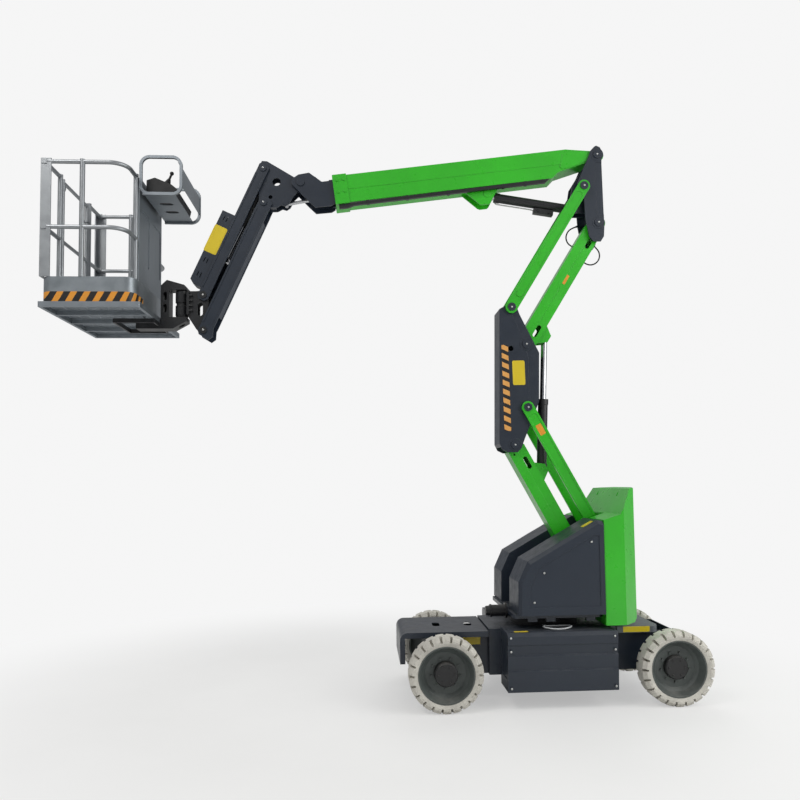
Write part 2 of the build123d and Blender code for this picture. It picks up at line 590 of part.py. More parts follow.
lower_riser = make_riser(LOWER_PIN, LOWER_ANGLE, ARM_LEN - 293, 118, True)
save(lower_riser, "lower_riser")
upper_riser = make_riser(MID_UPPER_PIN, UPPER_ANGLE, 153, 116, False)
save(upper_riser, "upper_riser")

for name, pin, angle in (
    ("lower_links", LOWER_LINK_PIN, LOWER_ANGLE),
    ("upper_links", MID_UPPER_LINK_PIN, UPPER_ANGLE),
):
    with BuildPart() as links:
        for side in (1, -1):
            with BuildSketch(across(pin, angle, side * (LINK_IN + LINK_T / 2))):
                with Locations((ARM_LEN / 2, 0)):
                    SlotCenterToCenter(ARM_LEN, LINK_H)
            extrude(amount=LINK_T / 2, both=True)
            with BuildSketch(across(pin, angle, side * (LINK_IN + LINK_T))):
                with Locations((ARM_LEN / 2, 0)):
                    SlotCenterToCenter(ARM_LEN - 190, LINK_H - 34)
            extrude(amount=side * 3, mode=Mode.SUBTRACT)
        pin_bar(pin + along(LINK_TIE, angle), LINK_TIE_R, 2 * (LINK_IN + LINK_T + 2))
        for end in (pin, pin + along(ARM_LEN, angle)):
            pin_bar(end, PIN_R + RUNNING, 400, mode=Mode.SUBTRACT)
    save(links, name)

MID_BOSSES = ((0, 0, 54), (-112, 837, 56))
MID_SIDE = [(109, 1131), (33, 1173), (-33, 1165), (-60, 1085), (-218, 764), (-208, 357), (-76, 36), (-52, -30), (-20, -62), (60, -62), (106, -40), (130, 10)]
MID_VOID = [(118, -100), (97, 1126), (30, 1160), (-60, 1200), (-400, 1200), (-400, -100)]
MID_BEND = [(8, 1095), (-91, 871), (-125, 722), (-125, 373), (-60, 250), (-500, 200), (-500, 1200), (-40, 1200)]
with BuildPart() as mid_upright:
    with BuildSketch(across(MID_PIN)):
        Polygon(*MID_SIDE, align=None)
    extrude(amount=UPRIGHT_IN + UPRIGHT_T, both=True)
    with BuildSketch(across(MID_PIN)):
        Polygon(*MID_VOID, align=None)
    extrude(amount=UPRIGHT_IN, both=True, mode=Mode.SUBTRACT)
    for side in (1, -1):
        with BuildSketch(across(MID_PIN, 0, side * (UPRIGHT_IN + UPRIGHT_T + 1))):
            Polygon(*MID_BEND, align=None)
        extrude(amount=side * (BEND_DEPTH + 1), mode=Mode.SUBTRACT)
        for x, z, r in MID_BOSSES:
            with Locations(across(MID_PIN + Vector(x, 0, z), 0, side * (UPRIGHT_IN + UPRIGHT_T / 2 + 1))):
                Cylinder(r, UPRIGHT_T + 2)
    with BuildSketch(across(MID_PIN)):
        Circle(26)
        with Locations((20, 800)):
            Circle(22)
    extrude(amount=300, both=True, mode=Mode.SUBTRACT)
    for pin in (MID_PIN, MID_UPPER_PIN):
        headed_pin(pin, PIN_R, UPRIGHT_IN + UPRIGHT_T + 3)
        pin_bar(pin, 30, 8, UPRIGHT_IN + UPRIGHT_T)
        pin_bar(pin, 30, 8, -UPRIGHT_IN - UPRIGHT_T)
    for pin in (MID_LINK_PIN, MID_UPPER_LINK_PIN):
        headed_pin(pin, PIN_R, LINK_IN + LINK_T + 2)
save(mid_upright, "mid_upright")

TOP_SIDE = [
    (20, 655), (3, 664), (-28, 652), (-39, 630), (-50, -40), (-44, -120), (-17, -162), (48, -162), (84, -120),
    (112, 40), (120, 200), (168, 262), (170, 345), (84, 540), (52, 620),
]
TOP_BEND = [(16, 520), (10, 70), (-200, 70), (-200, 520)]
CYL_CHEEK = [(-40, 100), (190, 100), (232, 144), (201, 334), (110, 480), (-38, 484)]
FRONT_HOSE = [(130, 36), (176, 20), (212, -20), (222, -72), (200, -120), (152, -146), (104, -138), (70, -104)]
REAR_HOSE = [
    (-4, -108), (-40, -143), (-73, -185), (-75, -238), (-47, -282), (2, -303), (54, -291), (90, -252), (97, -200), (72, -153),
    (48, -118),
]
with BuildPart() as top_upright:
    side_plates(across(TOP_PIN), TOP_SIDE, UPRIGHT_IN, UPRIGHT_T)
    for side in (1, -1):
        with BuildSketch(across(TOP_PIN, 0, side * (UPRIGHT_IN + UPRIGHT_T + 1))):
            Polygon(*TOP_BEND, align=None)
        extrude(amount=side * (BEND_DEPTH + 1), mode=Mode.SUBTRACT)
        for z, r in ((588, 54), (0, 54)):
            with Locations(across(TOP_PIN + Vector(-3 * z / 588, 0, z), 0, side * (UPRIGHT_IN + UPRIGHT_T / 2 + 1))):
                Cylinder(r, UPRIGHT_T + 2)
    side_plates(across(TOP_PIN), CYL_CHEEK, BOOM_CYL_R + MOVING_GAP, UPRIGHT_T)
    with BuildSketch(across(TOP_PIN)):
        Polygon((-48, 90), (-42, 490), (-30, 490), (-36, 90), align=None)
        Polygon((30, 380), (48, 380), (48, 470), (30, 470), align=None)
    extrude(amount=UPRIGHT_IN + 1, both=True)
    for pin in (TOP_PIN, BOOM_PIN):
        headed_pin(pin, PIN_R, UPRIGHT_IN + UPRIGHT_T + 3)
    headed_pin(TOP_LINK_PIN, PIN_R, LINK_IN + LINK_T + 2)
    pin_bar(BOOM_CYL_BASE, CYL_PIN_R, 2 * (BOOM_CYL_R + MOVING_GAP + UPRIGHT_T + 4))
    for route in (FRONT_HOSE, REAR_HOSE):
        hose_gland(TOP_PIN, route[0], route[1], HOSE_Y, HOSE_D)
        hose_gland(TOP_PIN, route[-1], route[-2], HOSE_Y, HOSE_D)
save(top_upright, "top_upright")
make_hose(TOP_PIN, FRONT_HOSE, HOSE_Y, HOSE_D, "front_hose")
make_hose(TOP_PIN, REAR_HOSE, HOSE_Y, HOSE_D, "rear_hose")


# ---------------------------------------------------------------- cylinders
BARREL_CAP = 40


def make_cylinder(base, eye, radius, rod_r, exposed, retract, name):
    """Barrel from its base pin to where exposed mm of rod shows; the rod can still go in by retract."""
    direction = (eye - base).normalized()
    length = (eye - base).length
    rod_start = BARREL_CAP + retract + 8
    axis_plane = Plane(origin=base, x_dir=(0, 1, 0), z_dir=direction)
    barrel_end = length - exposed
    with BuildPart() as barrel:
        with BuildSketch(axis_plane.offset(CYL_PIN_R + 6)):
            Circle(radius - 4)
        extrude(amount=barrel_end - CYL_PIN_R - 6)
        for start, depth in ((CYL_PIN_R + 6, 26), (barrel_end - 46, 46)):
            with BuildSketch(axis_plane.offset(start)):
                Circle(radius)
            extrude(amount=depth)
        pin_bar(base, CYL_PIN_R + 12, 2 * radius)
        with BuildSketch(axis_plane.offset(BARREL_CAP)):
            Circle(rod_r + RUNNING)
        extrude(amount=length, mode=Mode.SUBTRACT)
        pin_bar(base, CYL_PIN_R + RUNNING, 4 * radius, mode=Mode.SUBTRACT)
    save(barrel, f"{name}_barrel")
    with BuildPart() as rod:
        with BuildSketch(axis_plane.offset(rod_start)):
            Circle(rod_r)
        extrude(amount=length - rod_start)
        pin_bar(eye, rod_r + 8, 2 * radius)
    save(rod, f"{name}_rod")


make_cylinder(RISER_CYL_BASE, RISER_CYL_EYE, RISER_CYL_R, 26, 520, 470, "riser_cylinder")
make_cylinder(BOOM_CYL_BASE, BOOM_CYL_EYE, BOOM_CYL_R, BOOM_ROD_R, 70, 5, "boom_cylinder")
make_cylinder(LEVEL_BASE, LEVEL_EYE, LEVEL_CYL_R, 14, 270, 235, "level_cylinder")
make_cylinder(JIB_CYL_BASE, JIB_CYL_EYE, JIB_CYL_R, 18, 315, 285, "jib_cylinder")

# ---------------------------------------------------------------- booms
BOOM_WALL = 8
BOOM_SIDE = [
    (40, -40), (40, 44), (250, BOOM_TOP), (BOOM_LEN, BOOM_TOP), (BOOM_LEN, BOOM_BOTTOM), (406, BOOM_BOTTOM), (347, -103),
]
BOOM_CHEEK = [(60, 32), (243, 66), (290, 44), (326, -66), (312, -84), (185, -62), (65, -30)]
BOOM_LUG = [(858, BOOM_BOTTOM + 2), (1176, BOOM_BOTTOM + 2), (1050, -282), (1030, -293), (968, -293), (954, -284)]
with BuildPart() as main_boom:
    with BuildSketch(across(BOOM_PIN, BOOM_ANGLE)):
        Polygon(*BOOM_SIDE, align=None)
    extrude(amount=BOOM_HALF_W - BOOM_FOLD, both=True)
    with BuildSketch(across(BOOM_PIN, BOOM_ANGLE)):
        with Locations(((250 + BOOM_LEN) / 2, (BOOM_TOP + BOOM_CREASE) / 2)):
            Rectangle(BOOM_LEN - 250, BOOM_TOP - BOOM_CREASE)
    extrude(amount=BOOM_HALF_W, both=True)
    with BuildSketch(across(BOOM_PIN, BOOM_ANGLE)):
        with Locations((BOOM_LEN - COLLAR_LEN / 2, (BOOM_TOP + BOOM_BOTTOM) / 2)):
            RectangleRounded(COLLAR_LEN, BOOM_TOP - BOOM_BOTTOM + 16, 6)
    extrude(amount=BOOM_HALF_W + 8, both=True)
    with BuildSketch(across(BOOM_PIN, BOOM_ANGLE)):
        Polygon(*BOOM_CHEEK, align=None)
    extrude(amount=BOOM_HALF_W + 2, both=True)
    with BuildSketch(across(BOOM_PIN, BOOM_ANGLE)):
        Polygon(
            (200, BOOM_TOP - BOOM_WALL), (BOOM_LEN + 10, BOOM_TOP - BOOM_WALL), (BOOM_LEN + 10, BOOM_BOTTOM + BOOM_WALL),
            (412, BOOM_BOTTOM + BOOM_WALL), (350, -92), (200, -62), align=None,
        )
    extrude(amount=BOOM_HALF_W - BOOM_WALL, both=True, mode=Mode.SUBTRACT)
    pin_bar(BOOM_PIN, 60, 2 * (UPRIGHT_IN - 1))
    pin_bar(BOOM_PIN, PIN_R + RUNNING, 400, mode=Mode.SUBTRACT)
    side_plates(across(BOOM_PIN, BOOM_ANGLE), BOOM_LUG, BOOM_CYL_R + MOVING_GAP, LUG_T)
    for side in (1, -1):
        for u, v in COLLAR_BOLTS:
            with Locations(across(in_arm(BOOM_PIN, BOOM_ANGLE, u, v), 0, side * (BOOM_HALF_W + 8))):
                Cylinder(10, 16)
    pin_bar(BOOM_CYL_EYE, CYL_PIN_R + 14, 2 * (BOOM_CYL_R + MOVING_GAP + LUG_T + 4))
    pin_bar(BOOM_CYL_EYE, BOOM_ROD_R + 8 + 4, 2 * (BOOM_CYL_R + MOVING_GAP), mode=Mode.SUBTRACT)
save(main_boom, "main_boom")

TRAY_DEPTH = 30
TRAY_Y = (68, 96)
with BuildPart() as cable_tray:
    with BuildSketch(across(BOOM_PIN, BOOM_ANGLE, (TRAY_Y[0] + TRAY_Y[1]) / 2)):
        Polygon(
            (430, BOOM_BOTTOM - CLEAR), (2225, BOOM_BOTTOM - CLEAR - 8), (2225, BOOM_BOTTOM - TRAY_DEPTH - 14),
            (2150, BOOM_BOTTOM - TRAY_DEPTH - 14), (2100, BOOM_BOTTOM - TRAY_DEPTH), (470, BOOM_BOTTOM - TRAY_DEPTH), align=None,
        )
    extrude(amount=(TRAY_Y[1] - TRAY_Y[0]) / 2, both=True)
    with BuildSketch(across(BOOM_PIN, BOOM_ANGLE, (TRAY_Y[0] + TRAY_Y[1]) / 2)):
        with Locations((BOOM_LEN - COLLAR_LEN / 2, BOOM_BOTTOM)):
            Rectangle(COLLAR_LEN + 2 * CLEAR, 2 * (8 + CLEAR))
    extrude(amount=TRAY_Y[1] - TRAY_Y[0], both=True, mode=Mode.SUBTRACT)
    for u in TRAY_CLIPS:
        with BuildSketch(across(BOOM_PIN, BOOM_ANGLE, (TRAY_Y[0] + TRAY_Y[1]) / 2)):
            with Locations((u, BOOM_BOTTOM - CLEAR - (TRAY_DEPTH + 4) / 2)):
                Rectangle(22, TRAY_DEPTH + 4)
        extrude(amount=(TRAY_Y[1] - TRAY_Y[0]) / 2 + 3, both=True)
save(cable_tray, "cable_tray")

FLY_TOP = 61
FLY_BOTTOM = -129
NOSE_TOP = [(BOOM_LEN + 4, 44), (2346, 46), (2400, 100), (2392, 108), (2340, 54), (BOOM_LEN + 4, 54)]
NOSE_SIDE = [
    (BOOM_LEN + 4, 54), (2340, 54), (2434, 143), (2525, 137), (2579, 108), (2592, 66), (2480, -83), (2423, -154),
    (2290, -158), (BOOM_LEN + 4, -140),
]
with BuildPart() as fly_boom:
    with BuildSketch(across(BOOM_PIN, BOOM_ANGLE)):
        with Locations(((FLY_START + BOOM_LEN + 30) / 2, (FLY_TOP + FLY_BOTTOM) / 2)):
            Rectangle(BOOM_LEN + 30 - FLY_START, FLY_TOP - FLY_BOTTOM)
    extrude(amount=FLY_HALF_W, both=True)
    with BuildSketch(across(BOOM_PIN, BOOM_ANGLE)):
        with Locations(((FLY_START + BOOM_LEN + 30) / 2, (FLY_TOP + FLY_BOTTOM) / 2)):
            Rectangle(BOOM_LEN + 40 - FLY_START, FLY_TOP - FLY_BOTTOM - 2 * BOOM_WALL)
    extrude(amount=FLY_HALF_W - BOOM_WALL, both=True, mode=Mode.SUBTRACT)
    side_plates(across(BOOM_PIN, BOOM_ANGLE), NOSE_SIDE, FLY_HALF_W - 12, 12)
    with BuildSketch(across(BOOM_PIN, BOOM_ANGLE)):
        Polygon(*NOSE_TOP, align=None)
    extrude(amount=FLY_HALF_W - 6, both=True)
    for pad_u in (FLY_START + 60, BOOM_LEN - 60):
        with BuildSketch(across(BOOM_PIN, BOOM_ANGLE)):
            with Locations(((pad_u), BOOM_TOP - BOOM_WALL - CLEAR - PAD_GAP / 2)):
                Rectangle(90, PAD_GAP)
            with Locations(((pad_u), BOOM_BOTTOM + BOOM_WALL + CLEAR + PAD_GAP / 2)):
                Rectangle(90, PAD_GAP)
        extrude(amount=45, both=True)
        side_plates(
            across(BOOM_PIN, BOOM_ANGLE),
            ((pad_u - 45, -94), (pad_u + 45, -94), (pad_u + 45, 26), (pad_u - 45, 26)),
            FLY_HALF_W - 0.5,
            BOOM_HALF_W - BOOM_WALL - FLY_HALF_W + 0.5 - CLEAR,
        )
    headed_pin(LEVEL_PIN, PIN_R, FLY_HALF_W + 2)
    pin_bar(LEVEL_BASE, CYL_PIN_R, 2 * FLY_HALF_W - 4)
    with BuildSketch(across(BOOM_PIN, BOOM_ANGLE)):
        with Locations(((2150 + 2300) / 2, FLY_BOTTOM)):
            Rectangle(2300 - 2150, 40)
    extrude(amount=LEVEL_CYL_R + MOVING_GAP, both=True, mode=Mode.SUBTRACT)
save(fly_boom, "fly_boom")

# ---------------------------------------------------------------- jib
BRACKET_IN = 44
JIB_BRACKET = [
    (-30, 16), (-30, -20), (-10, -40), (60, -110), (96, -176), (126, -196), (160, -186), (200, -208), (330, -212),
    (346, -190), (345, 140), (320, 186), (278, 184), (52, 50), (0, 38),
]
with BuildPart() as jib_base:
    side_plates(across(LEVEL_PIN), JIB_BRACKET, BRACKET_IN, 12)
    with BuildSketch(across(LEVEL_PIN)):
        with Locations((200, 10)):
            Circle(34)
        with Locations((250, -120)):
            Circle(16)
    extrude(amount=100, both=True, mode=Mode.SUBTRACT)
    with BuildSketch(across(LEVEL_PIN)):
        Polygon((96, 66), (240, 154), (236, 162), (92, 74), align=None)
        Polygon((206, -198), (290, -201), (290, -193), (206, -190), align=None)
    extrude(amount=BRACKET_IN + 1, both=True)
    for pin in (JIB_PIN, JIB_LINK_PIN):
        headed_pin(pin, JIB_PIN_R, JIB_IN + JIB_T + 2)
    pin_bar(JIB_CYL_BASE, CYL_PIN_R, 2 * (BRACKET_IN + 14))
    pin_bar(LEVEL_EYE, CYL_PIN_R + 10, 2 * (BRACKET_IN + 14))
    pin_bar(LEVEL_EYE, 14 + 8 + 4, 2 * BRACKET_IN, mode=Mode.SUBTRACT)
    pin_bar(LEVEL_PIN, PIN_R + RUNNING, 400, mode=Mode.SUBTRACT)
save(jib_base, "jib_base")

# side plates of the two jib bars: a flat web with a lip folded out along each long edge
BOX_SIDE = [
    (-46, -36), (-20, -70), (JIB_LEN - 40, -70), (JIB_LEN + 20, -92), (JIB_LEN + 58, -70), (JIB_LEN + 46, 20),
    (JIB_LEN + 20, 40), (-20, 40), (-44, 20),
]
BAR_SIDE = [(-44, -20), (-20, -50), (JIB_LEN + 16, -50), (JIB_LEN + 42, -26), (JIB_LEN + 42, 20), (JIB_LEN + 20, 40), (-24, 40), (-44, 20)]
LIP_H = 14
LIP_OUT = 5


def lips(arm_plane, start, end, low, high):
    """Folded lips along both edges of a pair of side plates, in the part being built."""
    for v in (low + LIP_H / 2, high - LIP_H / 2):
        side_plates(
            arm_plane,
            ((start, v - LIP_H / 2), (end, v - LIP_H / 2), (end, v + LIP_H / 2), (start, v + LIP_H / 2)),
            JIB_IN + JIB_T - 1,
            LIP_OUT + 1,
        )


with BuildPart() as jib_box:
    side_plates(across(JIB_PIN, JIB_ANGLE), BOX_SIDE, JIB_IN, JIB_T)
    lips(across(JIB_PIN, JIB_ANGLE), 60, JIB_LEN - 60, -70, 40)
    with BuildSketch(across(JIB_PIN, JIB_ANGLE)):
        with Locations((JIB_LEN / 2, -62)):
            Rectangle(JIB_LEN - 300, 8)
        with Locations((JIB_LEN / 2 + 60, -20)):
            Rectangle(JIB_LEN - 420, 8)
    extrude(amount=JIB_IN + 1, both=True)
    for pin in (JIB_PIN, PLATFORM_PIN):
        pin_bar(pin, JIB_PIN_R + RUNNING, 400, mode=Mode.SUBTRACT)
save(jib_box, "jib_box")

with BuildPart() as jib_link:
    side_plates(across(JIB_LINK_PIN, JIB_ANGLE), BAR_SIDE, JIB_IN, JIB_T)
    lips(across(JIB_LINK_PIN, JIB_ANGLE), 60, JIB_LEN - 60, -50, 40)
    with BuildSketch(across(JIB_LINK_PIN, JIB_ANGLE)):
        with Locations((JIB_LEN / 2, 36)):
            Rectangle(JIB_LEN - 160, 8)
    extrude(amount=JIB_IN + 1, both=True)
    for pin in (JIB_LINK_PIN, PLATFORM_LINK_PIN):
        pin_bar(pin, JIB_PIN_R + RUNNING, 400, mode=Mode.SUBTRACT)
save(jib_link, "jib_link")

COVER_START = 465
COVER_END = 1125
COVER_OUT = 150
HATCH_T = 3
cover_low = 40 + CLEAR
with BuildPart() as jib_cover:
    with BuildSketch(across(JIB_LINK_PIN, JIB_ANGLE)):
        Polygon(
            (COVER_START, cover_low), (COVER_START, COVER_OUT), (COVER_END - 30, COVER_OUT), (COVER_END, COVER_OUT - 40),
            (COVER_END, cover_low), align=None,
        )
    extrude(amount=70, both=True)
    with BuildSketch(across(JIB_LINK_PIN, JIB_ANGLE)):
        Polygon(
            (COVER_START - 20, cover_low - 20), (COVER_START - 20, COVER_OUT - HATCH_T), (COVER_END - 31, COVER_OUT - HATCH_T),
            (COVER_END - HATCH_T, COVER_OUT - 41), (COVER_END - HATCH_T, cover_low - 20), align=None,
        )
    extrude(amount=70 - HATCH_T, both=True, mode=Mode.SUBTRACT)
    with BuildSketch(across(JIB_LINK_PIN, JIB_ANGLE)):
        for u in COVER_SLOTS:
            for step in (0, 26):
                with Locations((u, 112 - step)):
                    SlotOverall(44, 7)
    extrude(amount=100, both=True, mode=Mode.SUBTRACT)
save(jib_cover, "jib_cover")

# ---------------------------------------------------------------- platform knuckle and rotator
ROTATOR_R = 52
ROTATOR_SHAFT_R = 24
ROTATOR_BOTTOM = PLATFORM_PIN.Z + 116
ROTATOR_TOP = PLATFORM_PIN.Z + 331
ROTATOR_MID = (ROTATOR_BOTTOM + ROTATOR_TOP) / 2
KNUCKLE_SIDE = [
    (-35, 10), (-35, -10), (-20, -35), (15, -40), (60, 10), (125, 112), (125, 325), (60, 325), (20, 330), (-12, 322), (-35, 296),
]
with BuildPart() as platform_knuckle:
    side_plates(across(PLATFORM_PIN), KNUCKLE_SIDE, BRACKET_IN, 12)
    with BuildSketch(across(PLATFORM_PIN)):
        with Locations((30, 175)):
            SlotOverall(110, 44, rotation=90)
    extrude(amount=100, both=True, mode=Mode.SUBTRACT)
    with Locations((ROTATOR.X - ROTATOR_R - CLEAR - 10, 0, ROTATOR_MID)):
        Box(20, 150, ROTATOR_TOP - ROTATOR_BOTTOM - 2 * 14)
    for side in (1, -1):
        for z in (-62, -20, 22, 64):
            with Locations((ROTATOR.X - ROTATOR_R - CLEAR - 32, side * 66, ROTATOR_MID + z)):
                Cylinder(8, 28, rotation=(0, 90, 0))
    for pin in (PLATFORM_PIN, PLATFORM_LINK_PIN):
        headed_pin(pin, JIB_PIN_R, JIB_IN + JIB_T + 2)
save(platform_knuckle, "platform_knuckle")

with BuildPart() as rotator_housing:
    with BuildSketch(Plane(origin=(ROTATOR.X, 0, 0), x_dir=(1, 0, 0), z_dir=(0, -1, 0))):
        Polygon(
            (0, ROTATOR_BOTTOM - 25), (ROTATOR_SHAFT_R, ROTATOR_BOTTOM - 25), (ROTATOR_SHAFT_R, ROTATOR_BOTTOM),
            (ROTATOR_R - 4, ROTATOR_BOTTOM), (ROTATOR_R - 4, ROTATOR_BOTTOM + 13), (ROTATOR_R, ROTATOR_BOTTOM + 13),
            (ROTATOR_R, ROTATOR_MID - 14), (ROTATOR_R - 8, ROTATOR_MID - 8), (ROTATOR_R - 8, ROTATOR_MID + 8),
            (ROTATOR_R, ROTATOR_MID + 14), (ROTATOR_R, ROTATOR_TOP - 13), (ROTATOR_R - 4, ROTATOR_TOP - 13),
            (ROTATOR_R - 4, ROTATOR_TOP), (ROTATOR_SHAFT_R, ROTATOR_TOP), (ROTATOR_SHAFT_R, ROTATOR_TOP + 25),
            (0, ROTATOR_TOP + 25), align=None,
        )
    revolve(axis=Axis((ROTATOR.X, 0, 0), (0, 0, 1)))
save(rotator_housing, "rotator_housing")

# ---------------------------------------------------------------- basket
BASKET_REAR = ROTATOR.X + ROTATOR_TO_BASKET
BASKET_FRONT = BASKET_REAR + BASKET_DEPTH
BASKET_FLOOR = PLATFORM_PIN.Z + 64
BASKET_MID = (BASKET_REAR + BASKET_FRONT) / 2
SUPPORT_WALL = 8
ARM_SIDE = [
    (-50, ROTATOR_BOTTOM - 6), (-50, ROTATOR_BOTTOM - 40), (60, BASKET_FLOOR - 50), (ROTATOR_TO_BASKET + 190, BASKET_FLOOR - 50),
    (ROTATOR_TO_BASKET + 190, BASKET_FLOOR - CLEAR), (158, BASKET_FLOOR - CLEAR), (158, ROTATOR_TOP + 40),
    (110, ROTATOR_TOP + 86), (-30, ROTATOR_TOP + 46), (-50, ROTATOR_TOP + 26), (-50, ROTATOR_TOP + 6), (90, ROTATOR_TOP + 6),
    (90, ROTATOR_BOTTOM - 6),
]
with BuildPart() as platform_support:
    with BuildSketch(across(Vector(ROTATOR.X, 0, 0))):
        Polygon(*ARM_SIDE, align=None)
    extrude(amount=60, both=True)
    with BuildSketch(across(Vector(ROTATOR.X, 0, 0))):
        Polygon(
            (98, ROTATOR_BOTTOM - 20), (98, ROTATOR_TOP + 20), (150, ROTATOR_TOP + 20), (150, ROTATOR_BOTTOM - 20), align=None
        )
        with Locations((ROTATOR_TO_BASKET + 60, BASKET_FLOOR - 25)):
            SlotOverall(120, 24)
    extrude(amount=60 - SUPPORT_WALL, both=True, mode=Mode.SUBTRACT)
    with BuildSketch(across(Vector(ROTATOR.X, 0, 0))):
        with Locations((124, ROTATOR_MID - 40), (124, ROTATOR_MID + 60)):
            SlotOverall(70, 30, rotation=90)
    extrude(amount=100, both=True, mode=Mode.SUBTRACT)
    with BuildSketch(Plane.XY.offset(BASKET_FLOOR - CLEAR)):
        with Locations((BASKET_REAR + 160, 0)):
            Rectangle(320, 420)
            Rectangle(300, 400, mode=Mode.SUBTRACT)
        with Locations((BASKET_REAR + 320, 0)):
            Rectangle(10, 420)
    extrude(amount=-34)
    with Locations((ROTATOR.X, 0, ROTATOR_MID)):
        Cylinder(ROTATOR_SHAFT_R + RUNNING, 1000, mode=Mode.SUBTRACT)
save(platform_support, "platform_support")

FLOOR_H = 40
FLOOR_SHEET = 4
FLOOR_BARS = 4
with BuildPart() as basket_floor:
    with BuildSketch(Plane.XY.offset(BASKET_FLOOR)):
        with Locations((BASKET_MID, 0)):
            RectangleRounded(BASKET_DEPTH, BASKET_W, 12)
            Rectangle(BASKET_DEPTH - 50, BASKET_W - 50, mode=Mode.SUBTRACT)
            with GridLocations(0, BASKET_W / FLOOR_BARS, 1, FLOOR_BARS - 1):
                Rectangle(BASKET_DEPTH - 40, 25)
    extrude(amount=FLOOR_H)
    with BuildSketch(Plane.XY.offset(BASKET_FLOOR + FLOOR_H - FLOOR_SHEET)):
        with Locations((BASKET_MID, 0)):
            Rectangle(BASKET_DEPTH - 40, BASKET_W - 40)
            with GridLocations(0, BASKET_W / FLOOR_BARS, 1, FLOOR_BARS):
                with GridLocations(GRATE_PITCH_X, GRATE_PITCH_Y, GRATE_COLUMNS, GRATE_ROWS):
                    Rectangle(GRATE_PITCH_X - 14, GRATE_PITCH_Y - 10, mode=Mode.SUBTRACT)
    extrude(amount=FLOOR_SHEET)
save(basket_floor, "basket_floor")

TOE_H = 188
TOE_T = 3
TOE_R = 80
with BuildPart() as toe_boards:
    with BuildSketch(Plane.XY.offset(BASKET_FLOOR + FLOOR_H + CLEAR)):
        with Locations((BASKET_MID + 15, 0)):
            RectangleRounded(BASKET_DEPTH - 60, BASKET_W - 12, TOE_R)
            RectangleRounded(BASKET_DEPTH - 60 - 2 * TOE_T, BASKET_W - 12 - 2 * TOE_T, TOE_R - TOE_T, mode=Mode.SUBTRACT)
    extrude(amount=TOE_H)
    with BuildSketch(Plane.XY.offset(BASKET_FLOOR + FLOOR_H + CLEAR + TOE_H - 14)):
        with Locations((BASKET_MID + 15, 0)):
            RectangleRounded(BASKET_DEPTH - 60, BASKET_W - 12, TOE_R)
            RectangleRounded(BASKET_DEPTH - 60 - 4 * TOE_T, BASKET_W - 12 - 4 * TOE_T, TOE_R - 2 * TOE_T, mode=Mode.SUBTRACT)
    extrude(amount=14)
save(toe_boards, "toe_boards")

GATE_Y = (-290, 270)
rail_bottom = BASKET_FLOOR + FLOOR_H + TOE_H + 2 * CLEAR
rail_top = BASKET_FLOOR + BASKET_H - TUBE_R
rail_mid = (rail_top + rail_bottom) / 2 - 60
post_top = rail_top + TUBE_R + 3
rail_x = BASKET_FRONT - 30
rear_x = BASKET_REAR + 120
half_w = BASKET_W / 2 - 20
REAR_POST_Y = 320
RAIL_BEND = 130
RAIL_INTO = 18           # how near to the corner's centre line a rail runs into its block
CORNER_LEG = 76          # the angle section that stands at a front corner
CORNER_T = 9
CORNER_OUT = 24
CORNER_IN = 5
for name, side, gate_edge in (("left", 1, GATE_Y[1] + 24), ("right", -1, -GATE_Y[0] + 24)):
    with BuildPart() as rails:
        with BuildSketch(Plane.XY.offset(rail_bottom)):
            with Locations((rail_x + CORNER_OUT - CORNER_LEG / 2, side * (half_w + CORNER_IN + CORNER_T / 2))):
                Rectangle(CORNER_LEG, CORNER_T)
            with Locations((rail_x + CORNER_OUT - CORNER_T / 2, side * (half_w + CORNER_IN + CORNER_T - CORNER_LEG / 2))):
                Rectangle(CORNER_T, CORNER_LEG)
        extrude(amount=post_top + 3 - rail_bottom)
        for level in (rail_top, rail_mid):
            with BuildLine() as rail_path:
                FilletPolyline(
                    (rail_x - RAIL_INTO, side * half_w, level), (rear_x, side * half_w, level),
                    (rear_x, side * REAR_POST_Y, level), radius=RAIL_BEND,
                )
            with BuildSketch(Plane(origin=(rail_x - RAIL_INTO, side * half_w, level), z_dir=(-1, 0, 0))) as tube:
                Circle(TUBE_R)
            sweep(sections=tube.sketch, path=rail_path.wires()[0])
            with Locations((rail_x, side * (gate_edge + half_w - RAIL_INTO) / 2, level)):
                Cylinder(TUBE_R, half_w - RAIL_INTO - gate_edge, rotation=(90, 0, 0))
            with Locations((rail_x - 1, side * (half_w - 1), level)):
                Box(40, 40, 40)
        for x, y in ((rail_x, side * gate_edge), ((rail_x + rear_x) / 2 + 20, side * half_w), (rear_x, side * REAR_POST_Y)):
            with Locations((x, y, (rail_bottom + post_top) / 2)):
                Cylinder(POST_R, post_top - rail_bottom)
        if side < 0:
            for level in (rail_bottom + 160, rail_top - 160):
                with Locations((rail_x, GATE_Y[0], level)):
                    Box(20, 48, 14)
                with Locations((rail_x, GATE_Y[0] + 24, level)):
                    Cylinder(TUBE_R + 10, 14)
                    Cylinder(TUBE_R + RUNNING, 20, mode=Mode.SUBTRACT)
    save(rails, f"rails_{name}")

with BuildPart() as gate:
    for y in (GATE_Y[0] + 24, GATE_Y[1] - 24):
        with Locations((rail_x, y, (rail_bottom + 20 + rail_top) / 2)):
            Cylinder(TUBE_R, rail_top - rail_bottom - 20)
    for level in (rail_top - 22, rail_mid, rail_bottom + 50):
        with Locations((rail_x, (GATE_Y[0] + GATE_Y[1]) / 2, level)):
            Cylinder(TUBE_R - 2, GATE_Y[1] - GATE_Y[0] - 48, rotation=(90, 0, 0))
    with Locations((rail_x, GATE_Y[1] - 24, rail_top - 70)):
        Cylinder(TUBE_R + 5, 40)
        Box(46, 10, 24)
save(gate, "gate")

